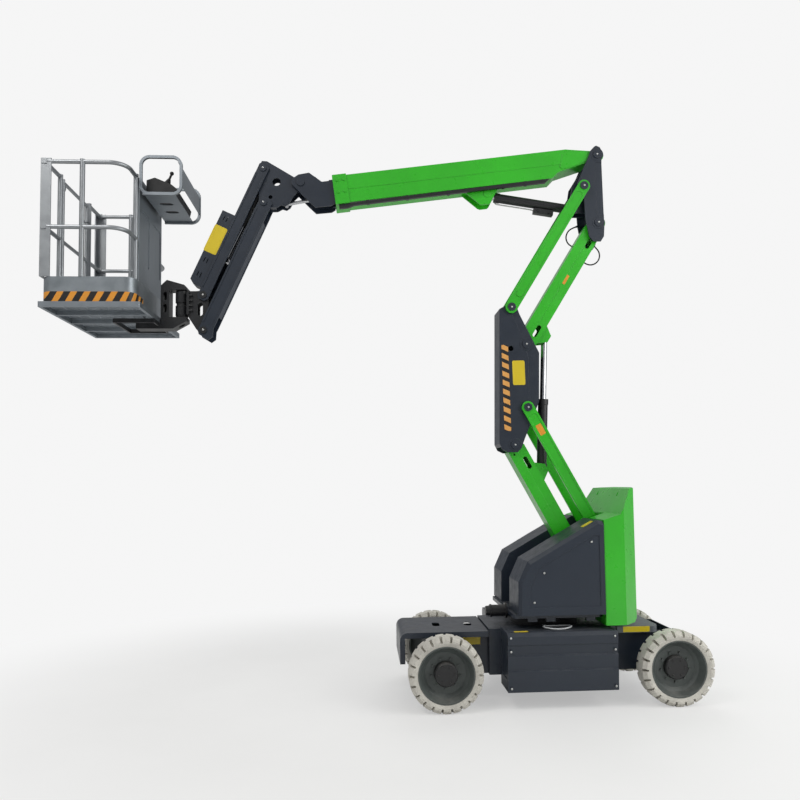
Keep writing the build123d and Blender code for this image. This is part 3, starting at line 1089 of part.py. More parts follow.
PANEL_T = 8
panel_x = rear_x - POST_R - CLEAR - PANEL_T
with BuildPart() as basket_rear_panel:
    with BuildSketch(Plane.YZ.offset(panel_x)):
        with Locations((0, (rail_bottom + rail_top) / 2)):
            RectangleRounded(2 * REAR_POST_Y, rail_top - rail_bottom, 20)
    extrude(amount=PANEL_T)
    for y in (-165, 165):
        with BuildSketch(Plane.YZ.offset(panel_x)):
            with Locations((y, rail_mid + 40)):
                RectangleRounded(250, 420, 30)
        extrude(amount=PANEL_T - 3, mode=Mode.SUBTRACT)
save(basket_rear_panel, "basket_rear_panel")

HOOP_X = (ROTATOR.X - 76, panel_x - CLEAR)
HOOP_Z = (rail_top - 150, rail_top + 170)
HOOP_Y = 325
HOOP_TUBE = 22
CONSOLE_SEAT = 24        # tray of the console above the hoops' lower edge
CONSOLE_HALF_W = 250
hoop_mid = Vector((HOOP_X[0] + HOOP_X[1]) / 2, 0, (HOOP_Z[0] + HOOP_Z[1]) / 2)
with BuildPart() as console_guard:
    for side in (1, -1):
        with BuildSketch(across(hoop_mid, 0, side * HOOP_Y)):
            RectangleRounded(HOOP_X[1] - HOOP_X[0], HOOP_Z[1] - HOOP_Z[0], 80)
            RectangleRounded(
                HOOP_X[1] - HOOP_X[0] - 2 * HOOP_TUBE, HOOP_Z[1] - HOOP_Z[0] - 2 * HOOP_TUBE, 80 - HOOP_TUBE, mode=Mode.SUBTRACT
            )
        extrude(amount=HOOP_TUBE / 2, both=True)
    with BuildSketch(across(hoop_mid)):
        Polygon(
            (HOOP_X[0] - hoop_mid.X + 6, -80), (HOOP_X[0] - hoop_mid.X + 6, 70), (HOOP_X[0] - hoop_mid.X + 34, 112),
            (HOOP_X[0] - hoop_mid.X + 38, 110), (HOOP_X[0] - hoop_mid.X + 10, 68), (HOOP_X[0] - hoop_mid.X + 10, -80), align=None,
        )
    extrude(amount=HOOP_Y, both=True)
    with BuildSketch(Plane.XY.offset(HOOP_Z[0] + CONSOLE_SEAT - 6)):
        with Locations((ROTATOR.X + 110, 0)):
            Rectangle(240, 2 * HOOP_Y)
            with Locations((0, -90), (0, 90)):
                SlotOverall(110, 50, mode=Mode.SUBTRACT)
    extrude(amount=6)
    for side in (1, -1):
        with Locations((ROTATOR.X + 110, side * HOOP_Y, HOOP_Z[0] + CONSOLE_SEAT / 2)):
            Box(240, HOOP_TUBE, CONSOLE_SEAT - 1)
save(console_guard, "console_guard")

console_z = HOOP_Z[0] + CONSOLE_SEAT + CLEAR
with BuildPart() as control_console:
    with BuildSketch(across(Vector(ROTATOR.X, 0, console_z))):
        Polygon((0, 0), (-14, 60), (30, 96), (160, 150), (225, 128), (225, 20), (205, 0), align=None)
    extrude(amount=CONSOLE_HALF_W, both=True)
    fillet(control_console.edges().filter_by(Axis.Y), 6)
    slope = Plane(origin=(ROTATOR.X + 95, 0, console_z + 123), x_dir=(0, 1, 0), z_dir=(-0.383, 0, 0.924))
    for y, r, h in CONSOLE_KNOBS:
        with Locations(slope):
            with Locations((y, 0, 0)):
                Cylinder(r, 2 * h)
    with Locations(slope):
        with Locations((150, 0, 0)):
            Cone(34, 12, 60, align=(Align.CENTER, Align.CENTER, Align.MIN))
            Cylinder(9, 110, align=(Align.CENTER, Align.CENTER, Align.MIN))
            with Locations((0, 0, 112)):
                Sphere(16)
save(control_console, "control_console")

print(f"slew axis x {SLEW.X:.1f}, front reach {FRONT_REACH:.1f}, basket front {BASKET_FRONT:.1f}")
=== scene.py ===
import math

import bmesh
import bpy
from mathutils import Matrix, Vector


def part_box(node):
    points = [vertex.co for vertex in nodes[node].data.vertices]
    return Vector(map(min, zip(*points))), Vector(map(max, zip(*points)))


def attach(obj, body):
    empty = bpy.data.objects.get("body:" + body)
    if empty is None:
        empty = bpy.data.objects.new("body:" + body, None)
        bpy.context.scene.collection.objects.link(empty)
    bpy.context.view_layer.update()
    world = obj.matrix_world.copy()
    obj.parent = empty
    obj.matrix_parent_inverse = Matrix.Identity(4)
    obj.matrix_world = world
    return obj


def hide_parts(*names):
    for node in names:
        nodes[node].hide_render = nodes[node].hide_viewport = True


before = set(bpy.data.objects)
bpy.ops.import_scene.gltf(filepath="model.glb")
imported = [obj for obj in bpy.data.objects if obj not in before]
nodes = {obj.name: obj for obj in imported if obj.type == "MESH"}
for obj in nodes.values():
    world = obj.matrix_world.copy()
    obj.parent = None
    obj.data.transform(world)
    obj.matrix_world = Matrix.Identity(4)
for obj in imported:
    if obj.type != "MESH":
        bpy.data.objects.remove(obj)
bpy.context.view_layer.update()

scene = bpy.context.scene


# ---------------------------------------------------------------- camera
def make_camera(place, yaw, pitch, roll, lens, shift):
    """Camera on the machine's left side. Angles are in radians, and yaw turns it from -Y."""
    ahead = Vector((math.sin(yaw) * math.cos(pitch), -math.cos(yaw) * math.cos(pitch),
                    math.sin(pitch)))
    level_right = Vector((-math.cos(yaw), -math.sin(yaw), 0.0))
    level_up = level_right.cross(ahead)
    right = level_right * math.cos(roll) + level_up * math.sin(roll)
    up = level_up * math.cos(roll) - level_right * math.sin(roll)
    data = bpy.data.cameras.new("camera")
    data.sensor_width = 36
    data.lens = lens
    data.shift_x, data.shift_y = shift
    data.clip_end = 200
    cam = bpy.data.objects.new("camera", data)
    turn = Matrix((right, up, -ahead)).transposed().to_4x4()
    cam.matrix_world = Matrix.Translation(place) @ turn
    scene.collection.objects.link(cam)
    scene.camera = cam


make_camera(place=Vector((0.1258, 6.1232, 1.7084)), yaw=-0.0613, pitch=0.0596, roll=-0.0121,
            lens=33.24, shift=(-0.0107, 0.048))


# ---------------------------------------------------------------- hoses
TOP_PIN = Vector((-1870.317, 0, 3880.342))        # mm, pin that joins the riser and the top upright
HOSE_Y = -101.5                                   # mm
HOSE_D = 12.0                                     # mm
FRONT_HOSE = [(130, 36), (176, 20), (212, -20), (222, -72), (200, -120), (152, -146), (104, -138),
              (70, -104)]
REAR_HOSE = [(-4, -108), (-40, -143), (-73, -185), (-75, -238), (-47, -282), (2, -303), (54, -291),
             (90, -252), (97, -200), (72, -153), (48, -118)]


def hose(name, route):
    """Free hose of the top upright from one gland to another.

    The route is (x, z) from the pin in mm. The radius is on the
    knots, with a bevel depth of 1, because a curve's box grows by the radius of its knots,
    whatever its bevel depth is."""
    data = bpy.data.curves.new(name + "_line", "CURVE")
    data.dimensions = "3D"
    data.bevel_depth = 1.0
    data.bevel_resolution = 5
    data.resolution_u = 10
    spline = data.splines.new("NURBS")
    spline.points.add(len(route) - 1)
    points = [(TOP_PIN + Vector((x, HOSE_Y, z))) / 1000 for x, z in route]
    for knot, point in zip(spline.points, points):
        knot.co = (*point, 1)
        knot.radius = HOSE_D / 2000
    spline.order_u = 3
    spline.use_endpoint_u = True
    obj = bpy.data.objects.new(name + "_line", data)
    scene.collection.objects.link(obj)
    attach(obj, "top_upright")
    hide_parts(name)
    return obj


hoses = [hose("front_hose", FRONT_HOSE), hose("rear_hose", REAR_HOSE)]


# ---------------------------------------------------------------- node trees
BEVEL_SAMPLES = 4
EDGE_COSINES = (0.99, 0.85)       # from rounded to flat normal, where an edge begins and is full
UPWARD = (0.5, 0.95)              # z of the normal, where dust begins and is full


def srgb(r, g, b):
    """Linear colour of a display colour given from 0 to 255."""
    out = []
    for v in (r / 255, g / 255, b / 255):
        out.append(v / 12.92 if v <= 0.04045 else ((v + 0.055) / 1.055) ** 2.4)
    return (*out, 1.0)


def tone(colour, factor, lift=0.0):
    """Lighter or darker shade of a colour."""
    return tuple(min(1.0, c * factor + lift) for c in colour[:3]) + (1,)


class Tree:
    """Short calls for a node tree."""

    def __init__(self, tree):
        self.tree = tree

    def fill(self, node, inputs):
        """Sets a node's inputs, by name or number, to constants or links other sockets to them."""
        for key, value in inputs.items():
            if isinstance(value, (int, float, tuple)):
                node.inputs[key].default_value = value
            elif value is not None:
                self.tree.links.new(value, node.inputs[key])
        return node

    def add(self, kind, inputs=None, **settings):
        """New node with its own settings, and with inputs as fill takes them."""
        node = self.tree.nodes.new(kind)
        for key, value in settings.items():
            setattr(node, key, value)
        return self.fill(node, inputs or {})

    def ramp(self, value, low, high, to_low=0.0, to_high=1.0):
        inputs = {"Value": value, "From Min": low, "From Max": high, "To Min": to_low,
                  "To Max": to_high}
        return self.add("ShaderNodeMapRange", inputs).outputs["Result"]

    def math(self, kind, *values):
        return self.add("ShaderNodeMath", dict(enumerate(values)), operation=kind).outputs[0]

    def mix(self, factor, a, b):
        """Colour between a and b, which are the node's inputs 6 and 7."""
        return self.add("ShaderNodeMix", {0: factor, 6: a, 7: b}, data_type="RGBA").outputs[2]

    def split(self, vector):
        """The x, y and z of a vector."""
        return self.add("ShaderNodeSeparateXYZ", {0: vector}).outputs[:]

    def camera_only(self, seen, otherwise, share=None):
        """One shader, or a share of it, for what the camera sees, and another for other rays."""
        factor = self.add("ShaderNodeLightPath").outputs["Is Camera Ray"]
        if share:
            factor = self.math("MULTIPLY", share, factor)
        return self.add("ShaderNodeMixShader", {0: factor, 1: otherwise, 2: seen}).outputs[0]


class Finish(Tree):
    """New material with its own node tree, in the object's coordinates."""

    def __init__(self, name):
        self.mat = bpy.data.materials.new(name)
        self.mat.use_nodes = True
        super().__init__(self.mat.node_tree)
        self.bsdf = self.tree.nodes["Principled BSDF"]
        coordinates = self.add("ShaderNodeTexCoord")
        self.where = coordinates.outputs["Object"]
        self.facing = coordinates.outputs["Normal"]

    def noise(self, scale, detail, rough=0.55, vector=None):
        inputs = {"Scale": scale, "Detail": detail, "Roughness": rough,
                  "Vector": vector or self.where}
        return self.add("ShaderNodeTexNoise", inputs).outputs["Fac"]

    def patches(self, scale, detail, rough=0.55, low=0.3, high=0.7, to_low=0.0, to_high=1.0):
        """Noise whose values from low to high are spread from to_low to to_high."""
        return self.ramp(self.noise(scale, detail, rough), low, high, to_low, to_high)

    def rounded(self, radius):
        """Normal that rounds off the edges."""
        return self.add("ShaderNodeBevel", {"Radius": radius}, samples=BEVEL_SAMPLES).outputs[0]

    def edge(self, radius):
        """1 on a convex or concave edge, 0 on a flat face, and the rounded normal."""
        normal = self.rounded(radius)
        flat = self.add("ShaderNodeNewGeometry").outputs["Normal"]
        dot = self.add("ShaderNodeVectorMath", {0: normal, 1: flat}, operation="DOT_PRODUCT")
        return self.ramp(dot.outputs["Value"], *EDGE_COSINES), normal

    def settled(self, scale, low, high):
        """Patches of dust, 0 on a side and up to 1 on a face that looks up."""
        z = self.split(self.add("ShaderNodeNewGeometry").outputs["Normal"])[2]
        upward = self.ramp(z, *UPWARD)
        return self.math("MULTIPLY", upward, self.patches(scale, 7, 0.7, low, high))

    def bump(self, height, strength, distance, normal=None):
        inputs = {"Height": height, "Strength": strength, "Distance": distance, "Normal": normal}
        return self.add("ShaderNodeBump", inputs).outputs[0]

    def done(self, colour, rough, normal=None, **others):
        """Feeds the surface shader and returns the material."""
        inputs = {"Base Color": colour, "Roughness": rough, "Normal": normal, **others}
        self.fill(self.bsdf, inputs)
        return self.mat


# ---------------------------------------------------------------- finishes
DUST = (0.42, 0.40, 0.36, 1)
PLASTIC_DUST = (0.40, 0.38, 0.35, 1)
BOARD_DUST = (0.30, 0.28, 0.25, 1)
HUB_BLACK = (0.014, 0.014, 0.015, 1)
TYRE_SCUFF = srgb(128, 120, 105)
TYRE_EDGE = srgb(120, 114, 102)
BAND_SCUFF = srgb(120, 105, 85)
HUB_RADIUS = 0.09         # m, of the black centre of each rim
EDGE_WEAR = 0.35          # how far a worn edge turns to its rubbed colour
COAT_ROUGHNESS = 0.16
RAGGED = 0.006            # m, how far the borders of a hazard pattern wander
WHOLE_TURNS = 200.0       # added to the count of its bars, to keep the count above zero
BAND_HEIGHT = 0.4         # share of the toe boards' height that has the hazard pattern
BAND_Y = 0.36             # m, the pattern is only on boards to the left of this


def paint(name, colour, rough, coat, dust, rubbed, mottle=0.06, hub=None):
    """Sprayed machine paint: faint orange peel, patchy gloss, dust on top faces, rubbed edges.

    hub is the (x, z) of the axle, where the paint has a black centre."""
    n = Finish(name)
    base = n.mix(n.patches(2.3, 6), tone(colour, 1 - mottle * 2), tone(colour, 1 + mottle))
    if hub:
        x, _, z = n.split(n.where)
        across, above = n.math("SUBTRACT", x, hub[0]), n.math("SUBTRACT", z, hub[1])
        away = n.math("ADD", n.math("MULTIPLY", across, across), n.math("MULTIPLY", above, above))
        base = n.mix(n.math("LESS_THAN", away, HUB_RADIUS ** 2), base, HUB_BLACK)
    edge, round_normal = n.edge(0.003)
    worn = n.math("MULTIPLY", edge, n.patches(38, 5, 0.65, low=0.4, high=0.65))
    base = n.mix(n.math("MULTIPLY", worn, EDGE_WEAR), base, rubbed)
    settled = n.settled(9, low=0.35, high=0.7)
    base = n.mix(n.math("MULTIPLY", settled, dust), base, DUST)
    clean = n.patches(11, 6, 0.6, high=0.75, to_low=rough - 0.05, to_high=rough + 0.1)
    roughness = n.math("ADD", clean, n.math("MULTIPLY", settled, 0.2))
    peel = n.bump(n.noise(420, 2, 0.5), strength=0.12, distance=0.0006, normal=round_normal)
    coating = {"Coat Weight": coat, "Coat Roughness": COAT_ROUGHNESS}
    return n.done(base, roughness, peel, **coating)


def moulded(name, colour, rough, grain, strength):
    """Moulded plastic or fibreglass with a fine pebble grain."""
    n = Finish(name)
    base = n.mix(n.patches(3.1, 5), tone(colour, 0.92), colour)
    settled = n.settled(12, low=0.4, high=0.75)
    base = n.mix(n.math("MULTIPLY", settled, 0.15), base, PLASTIC_DUST)
    edge, round_normal = n.edge(0.005)
    base = n.mix(n.math("MULTIPLY", edge, 0.3), base, tone(colour, 1.8, 0.02))
    pebbles = n.add("ShaderNodeTexVoronoi", {"Scale": grain, "Vector": n.where})
    normal = n.bump(pebbles.outputs["Distance"], strength, distance=0.0004, normal=round_normal)
    roughness = n.patches(17, 5, to_low=rough - 0.06, to_high=rough + 0.08)
    return n.done(base, roughness, normal)


def tyre_rubber(name, colour):
    """Pale non-marking rubber, scuffed and dirty where it rolls."""
    n = Finish(name)
    cloud = n.patches(7, 8, 0.7, low=0.35)
    base = n.mix(cloud, tone(colour, 0.74), colour)
    scuffed = n.patches(55, 8, 0.75, low=0.52, high=0.72)
    base = n.mix(n.math("MULTIPLY", scuffed, 0.45), base, TYRE_SCUFF)
    edge, round_normal = n.edge(0.004)
    base = n.mix(n.math("MULTIPLY", edge, 0.35), base, TYRE_EDGE)
    normal = n.bump(n.noise(260, 6, 0.7), strength=0.3, distance=0.001, normal=round_normal)
    roughness = n.ramp(cloud, 0, 1, to_low=0.8, to_high=0.66)
    return n.done(base, roughness, normal, **{"Specular IOR Level": 0.3})


def metal(name, colour, rough, brush, squeeze=(4, 4, 260)):
    """Bare or plated metal with dull patches and with drawn lines, which run across the axis
    that is squeezed most."""
    n = Finish(name)
    squeezed = n.add("ShaderNodeMapping", {"Vector": n.where, "Scale": squeeze}).outputs[0]
    lines = n.noise(1.0, 6, 0.7, squeezed)
    patch = n.patches(14, 6, 0.65, low=0.35)
    base = n.mix(patch, tone(colour, 0.88), colour)
    roughness = n.math("ADD", n.ramp(lines, 0.3, 0.7, rough - 0.06, rough + 0.06),
                       n.math("MULTIPLY", patch, 0.12))
    normal = n.bump(lines, strength=brush, distance=0.0004, normal=n.rounded(0.002))
    return n.done(base, roughness, normal, Metallic=1.0)


def stripes(n, along, up, period, share, lean):
    """1 on the dark bars of a slanted hazard pattern, with slightly worn borders."""
    ragged = n.math("MULTIPLY", n.noise(60, 3), RAGGED)
    shift = n.math("ADD", ragged, n.math("MULTIPLY", up, lean))
    turns = n.math("DIVIDE", n.math("ADD", along, shift), period)
    bar = n.math("FRACT", n.math("ADD", turns, WHOLE_TURNS))
    return n.math("LESS_THAN", bar, share)


def hazard_band():
    """Orange and black band on the riser's middle upright."""
    n = Finish("hazard_band")
    x, _, z = n.split(n.where)
    bar = stripes(n, z, x, period=0.0735, share=0.44, lean=-0.45)
    base = n.mix(bar, srgb(222, 160, 84), srgb(26, 25, 26))
    scuffed = n.patches(70, 8, 0.7, low=0.6, high=0.78)
    base = n.mix(n.math("MULTIPLY", scuffed, 0.35), base, BAND_SCUFF)
    roughness = n.patches(20, 5, to_low=0.36, to_high=0.5)
    return n.done(base, roughness, n.bump(n.noise(300, 2), strength=0.1, distance=0.0004))


def toe_board_sheet(lo, hi):
    """Grey toe boards from corner lo to corner hi, with the hazard band along the lower part of
    the left side, outside only."""
    n = Finish("toe_board_sheet")
    x, y, z = n.split(n.where)
    patch = n.patches(9, 6, 0.65, high=0.75)
    sheet = n.mix(patch, (0.25, 0.28, 0.30, 1), (0.34, 0.37, 0.40, 1))
    bar = stripes(n, n.math("ADD", x, y), z, period=0.098, share=0.52, lean=0.55)
    band = n.mix(bar, srgb(226, 150, 48), srgb(24, 24, 26))
    low = n.math("LESS_THAN", z, lo.z + BAND_HEIGHT * (hi.z - lo.z))
    left = n.math("GREATER_THAN", y, BAND_Y)
    facing_x, facing_y, _ = n.split(n.facing)
    from_middle = n.math("SUBTRACT", x, (lo.x + hi.x) / 2)
    outward = n.math("ADD", n.math("MULTIPLY", facing_x, from_middle),
                     n.math("MULTIPLY", facing_y, y))
    in_band = n.math("MULTIPLY", n.math("MULTIPLY", low, left),
                     n.math("GREATER_THAN", outward, 0.0))
    base = n.mix(in_band, sheet, band)
    scuffed = n.patches(80, 8, 0.7, low=0.6, high=0.8)
    base = n.mix(n.math("MULTIPLY", scuffed, 0.3), base, BOARD_DUST)
    roughness = n.ramp(patch, 0, 1, to_low=0.36, to_high=0.5)
    normal = n.bump(n.noise(160, 4), strength=0.12, distance=0.0005, normal=n.rounded(0.002))
    metallic = n.math("SUBTRACT", 0.8, n.math("MULTIPLY", in_band, 0.8))
    return n.done(base, roughness, normal, Metallic=metallic)


def rim_paint(name):
    """Dark painted rim with a black centre, about its own axle."""
    lo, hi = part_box(name)
    middle = (lo + hi) / 2
    return paint(f"{name}_paint", srgb(84, 90, 88), rough=0.48, coat=0.05, dust=0.3,
                 rubbed=srgb(140, 140, 135), mottle=0.12, hub=(middle.x, middle.z))


green = paint("green_gloss", srgb(46, 182, 28), rough=0.3, coat=0.3, dust=0.05,
              rubbed=srgb(120, 215, 100))
slate = paint("slate_paint", srgb(31, 40, 53), rough=0.38, coat=0.2, dust=0.12,
              rubbed=srgb(90, 97, 108))
black = paint("black_paint", srgb(24, 25, 28), rough=0.42, coat=0.1, dust=0.18,
              rubbed=srgb(80, 80, 82))
grey = paint("deck_grey", srgb(92, 98, 104), rough=0.45, coat=0.1, dust=0.15,
             rubbed=srgb(165, 165, 165))
yellow = paint("label_yellow", srgb(222, 196, 30), rough=0.4, coat=0.2, dust=0.1,
               rubbed=srgb(240, 225, 120))
orange = paint("label_orange", srgb(226, 150, 40), rough=0.4, coat=0.2, dust=0.1,
               rubbed=srgb(240, 200, 120))
hood_shell = moulded("hood_shell", srgb(34, 43, 56), rough=0.42, grain=700, strength=0.12)
black_plastic = moulded("black_plastic", srgb(22, 23, 25), rough=0.52, grain=900, strength=0.25)
hose_rubber = moulded("hose_rubber", srgb(20, 21, 23), rough=0.46, grain=1200, strength=0.2)
pale_plastic = moulded("pale_plastic", srgb(205, 208, 210), rough=0.4, grain=900, strength=0.1)
tyre_white = tyre_rubber("tyre_white", srgb(214, 211, 202))
aluminium = metal("basket_aluminium", (0.40, 0.42, 0.44, 1), rough=0.40, brush=0.15)
sheet_aluminium = metal("sheet_aluminium", (0.30, 0.33, 0.36, 1), rough=0.48, brush=0.2,
                        squeeze=(3, 90, 3))
chrome = metal("rod_chrome", (0.62, 0.63, 0.65, 1), rough=0.14, brush=0.05)
zinc = metal("zinc_plate", (0.62, 0.63, 0.62, 1), rough=0.3, brush=0.1)

NODE_FINISHES = (         # finish, then how the names of the nodes that have it begin or end
    (green, ("lower_", "upper_", "main_boom", "counterweight"), ()),
    (tyre_white, ("tyre_",), ()),
    (hood_shell, ("hood_",), ()),
    (black, ("slew_", "steering_", "platform_", "cable_tray", "drive_units", "rotator_housing"),
     ("_barrel",)),
    (chrome, (), ("_rod",)),
    (aluminium, ("rails_", "gate"), ()),
    (sheet_aluminium, ("console_guard", "basket_"), ()),
    (grey, ("rear_deck",), ()),
    (black_plastic, ("control_console",), ()),
)


def finish_of(name):
    """Finish of a carried-over CAD node; slate where the table has none."""
    if name.startswith("rim_"):
        return rim_paint(name)
    if name == "toe_boards":
        return toe_board_sheet(*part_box(name))
    for finish, starts, ends in NODE_FINISHES:
        if name.startswith(starts) or name.endswith(ends):
            return finish
    return slate


def wear_all():
    """Gives each carried-over CAD node and each hose its finish."""
    for name, obj in nodes.items():
        obj.data.materials.clear()
        obj.data.materials.append(finish_of(name))
    for obj in hoses:
        obj.data.materials.append(hose_rubber)


wear_all()


# ---------------------------------------------------------------- plates, bands and small fittings
LEFT = (0, -1, 0)         # a look from the machine's left side
DOWN = (0, 0, -1)
SIDES = ((1, "left"), (-1, "right"))
PLATE_RIM = (             # inset and height above the face of each ring of a plate's rim, m
    (0.0, -0.0004), (0.0, 0.0007), (0.0006, 0.0012), (0.0035, 0.0012), (0.0042, 0.0009))
PLATE_CORNERS = ((1, 1, 0), (-1, 1, 90), (-1, -1, 180), (1, -1, 270))   # signs, first angle
CORNER_SHARE = 0.12       # corner radius over the plate's shorter side
CORNER_STEPS = 4
TUBE_STEPS = 6            # from one given point to the next
TUBE_SIDES = 12
HEAD_RADIUS = 0.0085      # m, of a screw's washer and of a nipple's
FLATTENED = Matrix.Diagonal((1, 1, 0.5, 1))       # makes a ball into a screw head


def new_piece(name, mesh, finish, body):
    """Object of a finished bmesh that rides on one body."""
    data = bpy.data.meshes.new(name)
    mesh.to_mesh(data)
    mesh.free()
    data.materials.append(finish)
    obj = bpy.data.objects.new(name, data)
    scene.collection.objects.link(obj)
    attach(obj, body)


def hit(node, start, towards):
    """Point and normal where a straight line first meets a CAD node."""
    found, place, normal, _ = nodes[node].ray_cast(Vector(start), Vector(towards))
    if not found:
        raise ValueError(f"nothing of {node} beyond {start}")
    return place, normal


def facing_up(place, normal):
    """Matrix that puts a piece's own Z along a face's normal."""
    return Matrix.Translation(place) @ normal.to_track_quat("Z", "Y").to_matrix().to_4x4()


def skin(mesh, rings):
    """Faces between closed rings of points that follow each other."""
    for low, high in zip(rings, rings[1:]):
        for i in range(len(low)):
            j = (i + 1) % len(low)
            mesh.faces.new((low[i], low[j], high[j], high[i]))


def plate(name, node, body, start, towards, along, length, width, finish, screws=()):
    """Thin plate with rounded corners laid on a node's face, with a rolled rim.

    screws are the places of small screws, in halves of the plate's length and width."""
    place, normal = hit(node, start, towards)
    u = (Vector(along) - normal * Vector(along).dot(normal)).normalized()
    v = normal.cross(u)
    mesh = bmesh.new()
    corner = min(length, width) * CORNER_SHARE
    rings = []
    for inset, height in PLATE_RIM:
        ring = []
        for su, sv, first in PLATE_CORNERS:
            for step in range(CORNER_STEPS + 1):
                turn = math.radians(first + 90 / CORNER_STEPS * step)
                a = su * (length / 2 - corner) + (corner - inset) * math.cos(turn)
                b = sv * (width / 2 - corner) + (corner - inset) * math.sin(turn)
                ring.append(mesh.verts.new(place + u * a + v * b + normal * height))
        rings.append(ring)
    skin(mesh, rings)
    mesh.faces.new(rings[-1])
    for a, b in screws:
        where = place + u * a * length / 2 + v * b * width / 2 + normal * 0.0015
        bmesh.ops.create_uvsphere(mesh, u_segments=12, v_segments=6, radius=0.004,
                                  matrix=facing_up(where, normal) @ FLATTENED)
    new_piece(name, mesh, finish, body)


def smoothed(points, closed):
    """Smooth line through the points, which a closed one follows round to the first again."""
    line = []
    count = len(points)
    for i in range(count if closed else count - 1):
        p = [Vector(points[k % count if closed else min(max(k, 0), count - 1)])
             for k in range(i - 1, i + 3)]
        for step in range(TUBE_STEPS):
            t = step / TUBE_STEPS
            line.append(0.5 * (2 * p[1] + (p[2] - p[0]) * t
                               + (2 * p[0] - 5 * p[1] + 4 * p[2] - p[3]) * t * t
                               + (3 * p[1] - p[0] - 3 * p[2] + p[3]) * t ** 3))
    if not closed:
        line.append(Vector(points[-1]))
    return line


def tube(name, body, points, radius, finish, closed=False):
    """Round bar or pipe that follows smoothed points."""
    line = smoothed(points, closed)
    mesh = bmesh.new()
    rings = []
    side = None
    for i, here in enumerate(line):
        ahead = line[(i + 1) % len(line)] if closed or i + 1 < len(line) else here
        behind = line[i - 1] if closed or i else here
        forward = (ahead - behind).normalized()
        side = side or forward.orthogonal()
        side = (side - forward * side.dot(forward)).normalized()
        top = forward.cross(side)
        rings.append([mesh.verts.new(here + (side * math.cos(a) + top * math.sin(a)) * radius)
                      for a in (math.tau * k / TUBE_SIDES for k in range(TUBE_SIDES))])
    skin(mesh, rings + rings[:1] if closed else rings)
    if not closed:
        mesh.faces.new(rings[0][::-1])
        mesh.faces.new(rings[-1])
    for face in mesh.faces:
        face.smooth = True
    bmesh.ops.recalc_face_normals(mesh, faces=mesh.faces)
    new_piece(name, mesh, finish, body)


def studs(name, node, body, spots, side):
    """Domed screw heads on washers, at each (x, z) of the face that a node shows to one side."""
    mesh = bmesh.new()
    for x, z in spots:
        turn = facing_up(*hit(node, (x, side, z), (0, -side, 0)))
        bmesh.ops.create_cone(mesh, cap_ends=True, segments=20, radius1=HEAD_RADIUS,
                              radius2=HEAD_RADIUS * 0.9, depth=0.003,
                              matrix=turn @ Matrix.Translation((0, 0, 0.0012)))
        dome = turn @ Matrix.Translation((0, 0, 0.0026)) @ FLATTENED
        bmesh.ops.create_uvsphere(mesh, u_segments=16, v_segments=8, radius=HEAD_RADIUS * 0.62,
                                  matrix=dome)
    new_piece(name, mesh, zinc, body)


def valve_block(name, body, origin, along, across, sizes, finish):
    """Chamfered steel block with two hexagon plugs on each flank."""
    u, v = Vector(along).normalized(), Vector(across).normalized()
    block = Matrix((u, v, u.cross(v))).transposed().to_4x4()
    block.translation = Vector(origin)
    mesh = bmesh.new()
    bmesh.ops.create_cube(mesh, size=1.0, matrix=block @ Matrix.Diagonal((*sizes, 1)))
    bmesh.ops.bevel(mesh, geom=mesh.edges[:], offset=0.004, segments=2, affect="EDGES",
                    profile=0.5)
    for side in (1, -1):
        for a in VALVE_PLUGS:
            at = Matrix.Translation((a * sizes[0], side * (sizes[1] / 2 + 0.003), 0))
            turn = Matrix.Rotation(math.radians(90), 4, "X")
            bmesh.ops.create_cone(mesh, cap_ends=True, segments=6, radius1=0.013, radius2=0.013,
                                  depth=0.01, matrix=block @ at @ turn)
    new_piece(name, mesh, finish, body)


def arm_dir(angle):
    """Direction at an angle in degrees from +X towards +Z."""
    return (math.cos(math.radians(angle)), 0, math.sin(math.radians(angle)))


# piece, node it is laid on, body, start and direction of the line to it, then the direction of
# its long side, its length and width, its finish and any screws
PLATES = (
    ("upright_hazard_band", "mid_upright", "mid_upright", (-1.056, 1, 2.479), LEFT,
     (0.0174, 0, 1), 0.716, 0.056, hazard_band()),
    ("upright_plate", "mid_upright", "mid_upright", (-1.163, 1, 2.604), LEFT,
     (0.02, 0, 1), 0.204, 0.104, yellow),
    ("lower_link_plate", "lower_links", "lower_links", (-1.330, 1, 2.130), LEFT,
     arm_dir(61.5), 0.094, 0.050, orange),
    ("upper_riser_plate", "upper_riser", "upper_riser", (-1.579, 1, 3.404), LEFT,
     arm_dir(121.6), 0.088, 0.046, orange),
    ("jib_cover_plate", "jib_cover", "jib_link", (1.325, 1, 3.722), LEFT,
     arm_dir(-65.6), 0.240, 0.112, yellow, ((0.8, 1.25), (-0.8, 1.25), (-1.5, 1.1))),
    ("chassis_plate", "chassis_frame", "chassis", (-0.710, 1, 0.460), LEFT,
     (1, 0, 0), 0.149, 0.070, yellow),
    ("rear_deck_plate", "rear_deck", "chassis", (-2.021, 1, 0.527), LEFT,
     (1, 0, 0), 0.215, 0.044, yellow),
    ("hood_plate", "hood_left", "turret", (-1.598, 0.46, 3), DOWN,
     (1, 0, 0), 0.09, 0.075, yellow),
    ("battery_plate", "battery_box_left", "chassis", (-1.045, 0.555, 3), DOWN,
     (1, 0, 0), 0.105, 0.034, yellow),
)
for row in PLATES:
    plate(*row)

